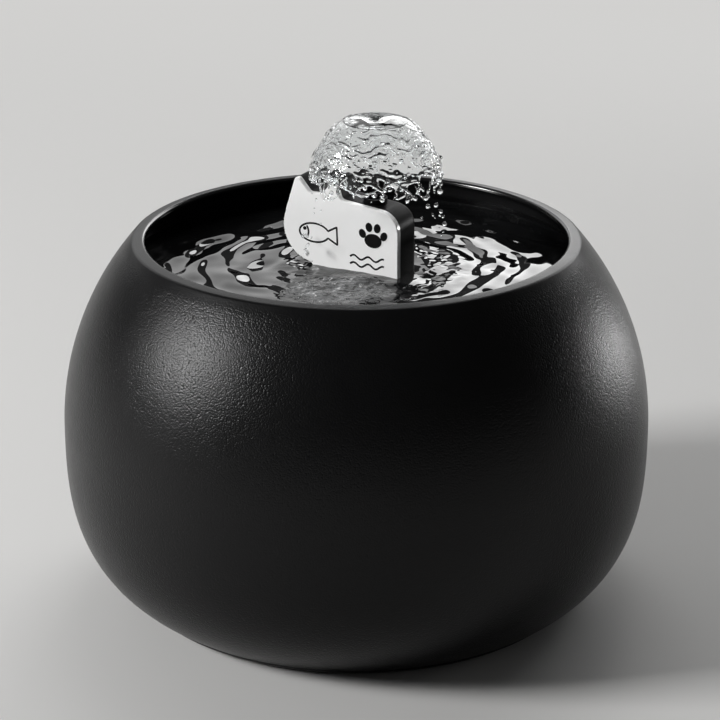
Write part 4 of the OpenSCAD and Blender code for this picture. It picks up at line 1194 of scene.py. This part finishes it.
@dataclass
class WaterBell(SubAssembly):
    """The jet, the bell of water that it spreads into, and the strands and drops that leave its skirt."""

    body: str = "spout"
    segments: int = 320
    skirt_rows: int = 112
    crown_rows: int = 18
    jet: float = 1.2 * MM
    cap: float = 12.3 * MM
    crown: float = 1.3 * MM
    fall: float = 21 * MM
    ragged: float = 1.2
    film: float = 0.42 * MM
    lens: float = 1.9 * MM
    flare: float = 1.0 * MM
    shoulder_passes: int = 30
    lens_rows: int = 26
    jet_rows: int = 34
    lip_round: float = 0.5 * MM
    seed: int = 7
    strand_steps: int = 16
    pool_level: float = WATER_LEVEL

    def __post_init__(self) -> None:
        """Takes the bell's size and place from its packed stand-in."""
        low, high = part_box("water_bell")
        self.radius = (high.x - low.x) / 2
        self.top = high.z - self.crown
        self.foot = low.z
        self.middle = Vector(((low.x + high.x) / 2, (low.y + high.y) / 2, 0.0))

    def skirt(self, share: float) -> Point2:
        """Radius and height of the falling sheet, from 0 at the cap's edge to 1 at its hem."""
        return self.cap + (self.radius - self.cap) * share * (2 - share), self.top - self.fall * share

    @staticmethod
    def rounded(line: list[Point2], passes: int) -> list[Point2]:
        """Rounds the bends of a line by moving each point half way to its neighbours' middle."""
        points = np.array(line)
        for _ in range(passes):
            points[1:-1] = points[1:-1] / 2 + (points[:-2] + points[2:]) / 4
        return [(float(r), float(z)) for r, z in points]

    @staticmethod
    def sideways(line: list[Point2]) -> list[Point2]:
        """The direction to the left of a line at each of its points."""
        found: list[Point2] = []
        for i in range(len(line)):
            before, after = line[max(i - 1, 0)], line[min(i + 1, len(line) - 1)]
            dr, dz = after[0] - before[0], after[1] - before[1]
            found.append((-dz / math.hypot(dr, dz), dr / math.hypot(dr, dz)))
        return found

    def section(self) -> list[tuple[float, float, float, float, float, float]]:
        """The closed half section of the bell and its jet.

        Returns:
            For each point its radius and height, the direction out of the water there (two numbers),
            how far down the skirt it lies, and 1 on the upper side or -1 on the lower one.
        """
        half = self.film / 2
        edge = self.crown_rows
        down = [0.0] * edge + [self.ragged * i / self.skirt_rows for i in range(self.skirt_rows + 1)]
        reach = [self.cap * i / edge for i in range(edge)]
        middle = [(r, self.top + self.crown * (1 - (r / self.cap) ** 2) - half) for r in reach]
        middle = self.rounded(middle + [self.skirt(t) for t in down[edge:]], self.shoulder_passes)
        away = self.sideways(middle)
        line = [(*p, *a, t, 1.0) for p, a, t in zip(middle, away, down)]
        line += [(*p, -a[0], -a[1], t, -1.0) for p, a, t in reversed(list(zip(middle, away, down))[edge:])]
        under: list[Point2] = []
        for i in range(1, self.lens_rows + 1):
            r = self.cap + (self.jet - self.cap) * i / self.lens_rows
            share = 1 - r / self.cap
            thick = half + self.lens * share**2.2 + self.flare * (self.jet / r) ** 1.5 * share
            under.append((r, self.top + self.crown * (1 - (r / self.cap) ** 2) - thick - half))
        start = under[-1][1]
        rows = self.jet_rows
        under += [(self.jet, start + (self.foot - start) * i / rows) for i in range(1, rows + 1)]
        line += [(*p, *a, 0.0, -1.0) for p, a in zip(under, self.sideways(under))]
        line.append((0.0, self.foot, 0.0, -1.0, 0.0, -1.0))
        return line

    def start_mesh(self) -> bpy.types.Mesh:
        """Turns the section, and stores for each corner which way the water ends and how far down it lies.

        Returns:
            The mesh that the bell's tree shapes further.
        """
        line = self.section()
        points, faces = turned([(p[0], p[1]) for p in line], self.segments)
        mesh = bpy.data.meshes.new("bell_section")
        mesh.from_pydata(points.tolist(), [], faces)
        turn = np.repeat(np.linspace(0, math.tau, self.segments, endpoint=False), len(line))
        rows = np.tile(np.array(line), (self.segments, 1))
        away = np.stack([np.cos(turn) * rows[:, 2], np.sin(turn) * rows[:, 2], rows[:, 3]], axis=1)
        mesh.attributes.new("away", "FLOAT_VECTOR", "POINT").data.foreach_set("vector", away.ravel())
        mesh.attributes.new("down", "FLOAT", "POINT").data.foreach_set("value", rows[:, 4])
        mesh.attributes.new("side", "FLOAT", "POINT").data.foreach_set("value", rows[:, 5])
        return mesh

    def half_thickness(self, sheet: ShapeSheet, place: Any, down: Value) -> Value:
        """Half the thickness of the water at a point.

        Args:
            sheet: the bell's tree.
            place: the point on the sheet's middle.
            down: how far down the skirt it lies.

        Returns:
            Half the thickness in metres, 0 where the sheet is torn.
        """
        warp = sheet.swing(place, 9 * MM, 1.0) * 12 * MM + sheet.swing(place, 2.6 * MM, 1.0) * 2.2 * MM
        crest = sheet.math("SINE", (down * self.fall * 1.25 + warp) * math.tau / sheet.size("Ridge spacing"))
        ridges = sheet.math("POWER", crest * 0.5 + 0.5, 7.0) * sheet.between(0.0, 0.06, down)
        patches = sheet.between(0.4, 0.56, sheet.noise(place, 5 * MM, 1.0)) * 0.8 + 0.2
        window = sheet.between(0.4, 0.5, sheet.noise(place, 8 * MM, 1.0)) * sheet.between(0.25, 0.45, down)
        beads = sheet.between(0.6, 0.74, sheet.noise(place, 1.5 * MM, 1.0, 0.5, 0.8))
        raised = ridges * patches * (1 - window) + beads * sheet.between(0.02, 0.1, down) * 0.4
        film = sheet.size("Film") / 2 * (1 - down * 0.5) + sheet.size("Ridge") * raised
        cells = sheet.cells(sheet.stretched(place, (1.0, 1.0, 0.75)), sheet.size("Tear"), "DISTANCE_TO_EDGE")
        reach = sheet.size("Tear") * (1 - sheet.between(0.5, 0.9, down)) * 0.6
        ends = sheet.between(1.0, 1.2, down + sheet.swing(place, 4 * MM, 1.0) * 0.5) * 1.8 * MM
        thread = self.lip_round + reach - ends - cells * sheet.size("Tear")
        border = sheet.share(thread / self.lip_round)
        rim = sheet.between(1.6 * MM, 0.4 * MM, thread) * sheet.between(0.45, 0.7, down) * 0.3 * MM
        return (film + rim) * sheet.math("SQRT", border * (2 - border))

    def build_bell(self) -> None:
        """Gives the turned section its ridges, its tears and its sway."""
        sizes = {"Ridge": 0.42 * MM, "Ridge spacing": 3.0 * MM, "Tear": 6.0 * MM, "Sway": 1.2 * MM}
        sheet = ShapeSheet("bell_of_water", {"Film": self.film, **sizes})
        place = sheet.add("GeometryNodeInputPosition").outputs[0]
        down, side = (sheet.stored(name) for name in ("down", "side"))
        half = self.half_thickness(sheet, place, down)
        kept = sheet.add(
            "GeometryNodeStoreNamedAttribute",
            {"data_type": "FLOAT", "domain": "POINT"},
            {0: sheet.given, "Name": "half", "Value": half},
        )
        loose = sheet.between(0.1, 0.8, down) * sheet.size("Sway")
        sway = sheet.swing(place, 8 * MM, 1.0) * loose * 2 + sheet.swing(place, 3 * MM, 1.0) * loose * 0.8
        wobble = sheet.swing(place, 3.5 * MM, 1.0) * 0.35 * MM * sheet.between(0.05, -0.05, down)
        push = sway * side + sheet.stored("half") + wobble * (0.5 - side * 0.5)
        inputs = {0: sheet.stored("away", "FLOAT_VECTOR"), "Scale": push}
        shift = sheet.add("ShaderNodeVectorMath", {"operation": "SCALE"}, inputs)
        bent = sheet.add("GeometryNodeSetPosition", inputs={0: kept, "Offset": shift})
        inputs = {0: sheet.stored("half"), 1: SPECK}
        gone = sheet.add("FunctionNodeCompare", {"operation": "LESS_THAN"}, inputs)
        torn = sheet.add("GeometryNodeDeleteGeometry", {"domain": "FACE"}, {0: bent, "Selection": gone})
        joined = sheet.merged(torn, 2 * TOUCHING)
        edge = sheet.between(0.12 * MM, 0.02 * MM, sheet.stored("half"))
        smooth = sheet.add(
            "GeometryNodeBlurAttribute",
            {"data_type": "FLOAT_VECTOR"},
            {"Value": sheet.add("GeometryNodeInputPosition"), "Iterations": 5, "Weight": edge},
        )
        whole = sheet.add("GeometryNodeSetPosition", inputs={0: joined, "Position": smooth})
        moved = sheet.placed(whole, "Translation", tuple(self.middle))
        sheet.finish(sheet.shade(moved, SMOOTH), WATER.material())
        bell = sheet.grow("bell_of_water", self.start_mesh())
        for name in ("away", "down", "side", "half"):
            bell.data.attributes.remove(bell.data.attributes[name])
        face_out(bell)
        self.carry(bell, "clear_water", "water_bell")

    def hanging_lines(self) -> bpy.types.Mesh:
        """Centre lines of the strands: each hangs between two places on the hem, and some end in a tail.

        Returns:
            A mesh of edges, with the thickness share of each corner stored.
        """
        chance = np.random.default_rng(self.seed)
        points: list[tuple[float, float, float]] = []
        edges: list[tuple[int, int]] = []
        width: list[float] = []
        turn = 0.0
        while turn < 350:
            span, sag = chance.uniform(16, 34), chance.uniform(2.0, 6.0) * MM
            top = self.top - self.fall * chance.uniform(0.82, 1.0)
            tail = chance.random() < 0.45
            steps = self.strand_steps
            for i in range(steps + 1):
                u = i / steps
                a = math.radians(turn + span * u)
                r = self.radius * (0.99 + 0.02 * math.sin(5 * a)) + sag * 0.15 * math.sin(math.pi * u)
                hang = math.sin(math.pi * u) ** 0.7 if not tail else u**1.6
                points.append((r * math.cos(a), r * math.sin(a), top - sag * hang * (1.5 if tail else 1.0)))
                width.append(0.35 + 0.65 * math.sin(math.pi * u) ** 0.5 if not tail else 0.4 + 0.9 * u**3)
            edges += [(len(points) - 2 - i, len(points) - 1 - i) for i in range(steps)]
            turn += span * chance.uniform(0.75, 1.5)
        mesh = bpy.data.meshes.new("strand_lines")
        mesh.from_pydata(points, edges, [])
        mesh.attributes.new("width", "FLOAT", "POINT").data.foreach_set("value", width)
        return mesh

    def build_strands(self) -> None:
        """Sweeps a round section of changing width along every hanging line."""
        sheet = ShapeSheet("hanging_strands", {"Width": 0.62 * MM, "Wander": 2.2 * MM, "Step": 0.3 * MM})
        even = sheet.lines(sheet.size("Step"))
        place = sheet.add("GeometryNodeInputPosition").outputs[0]
        wander = [
            sheet.swing(sheet.stretched(place, turn), 4.5 * MM, 2.0) * sheet.size("Wander")
            for turn in ((1.0, 1.0, 1.0), (-1.0, 1.0, 1.3), (1.0, -1.2, 1.0))
        ]
        loose = sheet.add("GeometryNodeSetPosition", inputs={0: even, "Offset": sheet.joined(*wander)})
        beads = sheet.between(0.5, 0.75, sheet.noise(place, 1.8 * MM, 0.0)) * 0.9 + 0.55
        width = sheet.stored("width") * beads * sheet.size("Width")
        moved = sheet.placed(sheet.swept(loose, 10, 1.0, width), "Translation", tuple(self.middle))
        sheet.finish(sheet.shade(moved, SMOOTH), WATER.material())
        strands = sheet.grow("hanging_strands", self.hanging_lines())
        face_out(strands)
        self.carry(strands, "clear_water")

    def build_drops(self) -> None:
        """Lets drops fall from the skirt down to the pool, most of them near the skirt."""
        sheet = ShapeSheet(
            "falling_drops",
            {
                "Count": 150,
                "Radius": self.radius,
                "Rim": self.top - self.fall * 0.75,
                "Fall": self.top - self.fall * 0.75 - self.pool_level,
                "Smallest": 0.25 * MM,
                "Largest": 0.95 * MM,
                "Seed": 11,
            },
        )
        line = sheet.add("GeometryNodeMeshLine", inputs={"Count": sheet.size("Count")})

        def chance(offset: int) -> Value:
            """A random number from 0 to 1, a new one for each offset."""
            return sheet.chance(sheet.size("Seed") + offset)

        turn = chance(1) * math.tau
        front = sheet.between(0.2, 0.8, -sheet.math("SINE", turn))
        down = chance(2) ** 1.6 * (1 - front * 0.8)
        reach = sheet.size("Radius") * (0.96 + down * 0.12) + (chance(3) - 0.5) * 4 * MM
        height = sheet.size("Rim") - down * sheet.size("Fall")
        spot = sheet.joined(reach * sheet.math("COSINE", turn), reach * sheet.math("SINE", turn), height)
        spread = sheet.add("GeometryNodeSetPosition", inputs={0: line, "Position": spot})
        radius = sheet.size("Smallest") + (sheet.size("Largest") - sheet.size("Smallest")) * chance(4) ** 2.6
        tilt = sheet.joined(chance(6) * 1.6 - 0.8, chance(7) * 1.6 - 0.8, 0.0)
        whole = sheet.balls(spread, tilt, sheet.joined(radius, radius, radius * (1 + chance(5) * 1.3)))
        moved = sheet.placed(whole, "Translation", tuple(self.middle))
        sheet.finish(sheet.shade(moved, SMOOTH), WATER.material())
        self.carry(sheet.grow("falling_drops"), "clear_water")

    def build(self) -> None:
        """Makes the bell, its strands and its drops."""
        self.build_bell()
        self.build_strands()
        self.build_drops()


@dataclass
class PumpModule(SubAssembly):
    """The lift-out module: cage, pod, pump and the foam before the inlet."""

    body: str = "pump_module"
    corner: float = 5 * MM
    crown: float = 0.5 * MM
    edge: float = 1.2 * MM

    def build(self) -> None:
        """Cuts the foam block, with soft corners and a slight crown."""
        low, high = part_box("prefilter_sponge")
        work = bmesh.new()
        bmesh.ops.create_cube(work, size=1.0)
        size, middle = high - low, (high + low) / 2
        for corner in work.verts:
            corner.co = Vector(c * s for c, s in zip(corner.co, size)) + middle
        front = [e for e in work.edges if e.verts[0].co.y < middle.y]
        upright = [e for e in front if abs((e.verts[0].co - e.verts[1].co).z) > 1 * MM]
        bmesh.ops.bevel(work, geom=upright, offset=self.corner, segments=6, affect="EDGES")
        every = list(work.edges)
        bmesh.ops.bevel(work, geom=every, offset=self.edge, segments=3, affect="EDGES", clamp_overlap=True)
        bmesh.ops.triangulate(work, faces=[f for f in work.faces if len(f.verts) > 4])
        bmesh.ops.subdivide_edges(work, edges=list(work.edges), cuts=3, use_grid_fill=True)
        for corner in work.verts:
            across = 1 - ((corner.co.x - middle.x) / (size.x / 2)) ** 2
            upwards = 1 - ((corner.co.z - middle.z) / (size.z / 2)) ** 2
            if corner.co.y < middle.y:
                corner.co.y -= self.crown * max(across, 0.0) * max(upwards, 0.0)
        bmesh.ops.recalc_face_normals(work, faces=work.faces)
        mesh = bpy.data.meshes.new("prefilter_foam")
        work.to_mesh(mesh)
        work.free()
        mesh.shade_smooth()
        mesh.materials.append(FOAM.material())
        foam = link(bpy.data.objects.new("prefilter_foam", mesh))
        self.carry(foam, "filter_foam", "prefilter_sponge")


@dataclass
class FilterLid(SubAssembly):
    """The lid with its ring-shaped cartridge of pleated fleece."""

    body: str = "filter_lid"
    pleats: int = 44
    per_pleat: int = 14
    rows: int = 14
    fleece_t: float = 1.3 * MM
    depth: float = 4.6 * MM
    clear: float = 0.1 * MM
    sharpness: float = 0.97
    lean: float = 0.1

    def build(self) -> None:
        """Folds the fleece into its pleats and gives it its thickness."""
        low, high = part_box("filter_media")
        outer = high.x - self.fleece_t / 2 - self.clear
        count = self.pleats * self.per_pleat
        neighbours = [(i, (i + 1) % count) for i in range(count)]
        points: list[tuple[float, float, float]] = []
        for row in range(self.rows + 1):
            z = low.z + (high.z - low.z) * row / self.rows
            for i in range(count):
                turn = math.tau * i / count
                fold = math.asin(self.sharpness * math.cos(self.pleats * turn)) / math.asin(self.sharpness)
                lean = self.lean * math.sin(3 * turn + 5 * row / self.rows) / self.pleats
                reach = outer - self.depth * (1 - fold) / 2
                points.append((reach * math.cos(turn + lean), reach * math.sin(turn + lean), z))
        faces = []
        for row in range(self.rows):
            low_row, high_row = row * count, (row + 1) * count
            faces += [(low_row + i, low_row + j, high_row + j, high_row + i) for i, j in neighbours]
        fleece = solid("pleated_fleece", np.array(points), faces, FLEECE, 80)
        wall = fleece.modifiers.new("wall", "SOLIDIFY")
        wall.thickness, wall.offset = self.fleece_t, 0.0
        settle(fleece)
        self.carry(fleece, "filter_fleece", "filter_media")


# ---------------------------------------------------------------- studio


@dataclass(frozen=True)
class Lamp:
    """One soft box."""

    name: str
    place: tuple[float, float, float]
    size: Point2
    power: float


@dataclass
class Studio:
    """The camera, the floor and the soft boxes round the fountain."""

    target: tuple[float, float, float] = (1.35 * MM, 0.0, 90.49 * MM)
    distance: float = 1.0152
    pitch: float = 20.383
    lens: float = 135.0
    floor_colour: Colour = (0.64, 0.635, 0.625)
    floor_half: float = 6.0
    fade: Point2 = (0.5, 1.1)
    sky: float = 0.06
    haze: Point2 = (0.24, 0.1)
    lamps: tuple[Lamp, ...] = (
        Lamp("upper_left", (-1.35, -0.33, 0.76), (0.42, 0.42), 26.5),
        Lamp("right_rear", (1.79, 1.3, 0.06), (0.55, 0.12), 9.5),
        Lamp("behind", (0.80, 1.7, 0.86), (1.6, 0.75), 15.0),
        Lamp("behind_left", (-0.80, 1.9, 1.1), (1.7, 1.3), 8.5),
        Lamp("overhead", (0.1, 1.0, 1.9), (0.9, 0.9), 6.0),
    )

    def set_camera(self) -> None:
        """Looks down at the bowl from the front."""
        data = bpy.data.cameras.new("view")
        data.lens, data.sensor_width, data.sensor_height = self.lens, 36.0, 36.0
        camera = link(bpy.data.objects.new("view", data))
        down = math.radians(self.pitch)
        back = Vector((0.0, -math.cos(down), math.sin(down))) * self.distance
        camera.location = Vector(self.target) + back
        camera.rotation_euler = (math.pi / 2 - down, 0.0, 0.0)
        bpy.context.scene.camera = camera

    def set_floor(self) -> None:
        """A wide pale floor, with a faint mottling."""
        mesh = bpy.data.meshes.new("floor")
        half = self.floor_half
        corners = [(-half, -half, 0), (half, -half, 0), (half, half, 0), (-half, half, 0)]
        mesh.from_pydata(corners, [], [(0, 1, 2, 3)])
        floor = link(bpy.data.objects.new("floor", mesh))
        material = bpy.data.materials.new("pale_floor")
        material.use_nodes = True
        sheet = ShadeSheet(material.node_tree)
        place = sheet.place()
        x, y, _ = sheet.split(place)
        cloud = sheet.noise(place, 0.3, 3.0)
        darker = toned(self.floor_colour, 0.985)
        colour = sheet.mix(cloud, self.floor_colour, darker)
        near = sheet.add("ShaderNodeBsdfPrincipled", inputs={"Base Color": colour, "Roughness": 0.75})
        far = sheet.add("ShaderNodeEmission", inputs={"Color": (*self.floor_colour, 1.0), "Strength": 1.0})
        rays = sheet.add("ShaderNodeLightPath")
        seen = [sheet.value(rays, f"Is {kind} Ray") for kind in ("Camera", "Glossy", "Transmission")]
        straight = sheet.greater(seen[0], sheet.greater(*seen[1:]))
        faded = sheet.between(*self.fade, sheet.distance(x, y)) * straight
        both = sheet.add("ShaderNodeMixShader", inputs={0: faded, 1: near, 2: far})
        sheet.add("ShaderNodeOutputMaterial", inputs={"Surface": both})
        mesh.materials.append(material)

    def set_lights(self) -> None:
        """An even pale surround and the soft boxes."""
        scene = bpy.context.scene
        scene.world = bpy.data.worlds.new("surround")
        scene.world.use_nodes = True
        sheet = NodeSheet(scene.world.node_tree)
        rays = sheet.add("ShaderNodeLightPath")
        _, _, up = sheet.split(sheet.add("ShaderNodeTexCoord").outputs["Generated"])
        through = sheet.value(rays, "Is Transmission Ray") * sheet.between(*self.haze, up)
        seen = sheet.greater(sheet.value(rays, "Is Camera Ray"), through)
        colour = sheet.joined(*(seen * (c - self.sky) + self.sky for c in self.floor_colour))
        glow = sheet.add("ShaderNodeBackground", inputs={"Color": colour, "Strength": 1.0})
        sheet.add("ShaderNodeOutputWorld", inputs={"Surface": glow})
        scene.view_settings.view_transform = "Standard"
        for lamp in self.lamps:
            data = bpy.data.lights.new(lamp.name, "AREA")
            data.shape, data.size, data.size_y = "RECTANGLE", *lamp.size
            data.energy = lamp.power
            box = link(bpy.data.objects.new(lamp.name, data))
            box.visible_camera = False
            box.location = lamp.place
            aim = Vector(self.target) - Vector(lamp.place)
            box.rotation_euler = aim.to_track_quat("-Z", "Y").to_euler()
            log.info("lamp %s", lamp.name)


def main() -> None:
    """Builds the studio and then each sub-assembly in turn."""
    logging.basicConfig(level=logging.INFO, format="%(message)s")
    studio = Studio()
    studio.set_camera()
    studio.set_floor()
    studio.set_lights()
    shading = shading_tree()
    base = SubAssembly(
        "power_base",
        {
            "base_lower_shell": BLACK_SHELL,
            "base_upper_shell": BLACK_SHELL,
            "transmitter_coil": COPPER,
            "transmitter_ferrite": FERRITE,
            "driver_board": BOARD,
            "usb_inlet": STEEL,
            "base_screws": STEEL,
            "base_feet": SOFT_BLACK,
        },
        shading,
    )
    bowl = Bowl(finishes={"bowl_foot_ring": SOFT_BLACK}, shading=shading)
    module = PumpModule(
        finishes={
            "filter_cage": GREY_SHELL,
            "module_feet": SOFT_BLACK,
            "receiver_tray": GREY_SHELL,
            "receiver_cover": GREY_SHELL,
            "receiver_seal": SOFT_BLACK,
            "receiver_coil": COPPER,
            "receiver_ferrite": FERRITE,
            "receiver_board": BOARD,
            "motor_pins": STEEL,
            "pump_housing": BLACK_SHELL,
            "stator_core": STEEL,
            "stator_windings": COPPER,
            "motor_end_cap": BLACK_SHELL,
            "rotor_shaft": CERAMIC,
            "shaft_bushes": SOFT_BLACK,
            "volute_cover": BLACK_SHELL,
            "volute_seal": SOFT_BLACK,
            "riser_tube": TUBE,
        },
        shading=shading,
    )
    rotor = SubAssembly("rotor", {"impeller": WHITE_ACETAL, "rotor_magnet": FERRITE}, shading)
    dial = SubAssembly("flow_dial", {"flow_dial": WHITE_ACETAL}, shading)
    lid = FilterLid(
        finishes={"cage_lid": GREY_SHELL, "cartridge_frame": BLACK_SHELL, "collar_seal": SOFT_BLACK},
        shading=shading,
    )
    spout = Spout(
        finishes={"cat_body": CAT_BLACK, "cat_face_plate": PLATE_WHITE, "nozzle_insert": CAT_BLACK},
        shading=shading,
    )
    for part in (base, bowl, module, rotor, dial, lid, spout):
        part.dress()
    for part in (bowl, Pool(), module, lid, spout, WaterBell()):
        part.build()


if __name__ == "__main__":
    main()
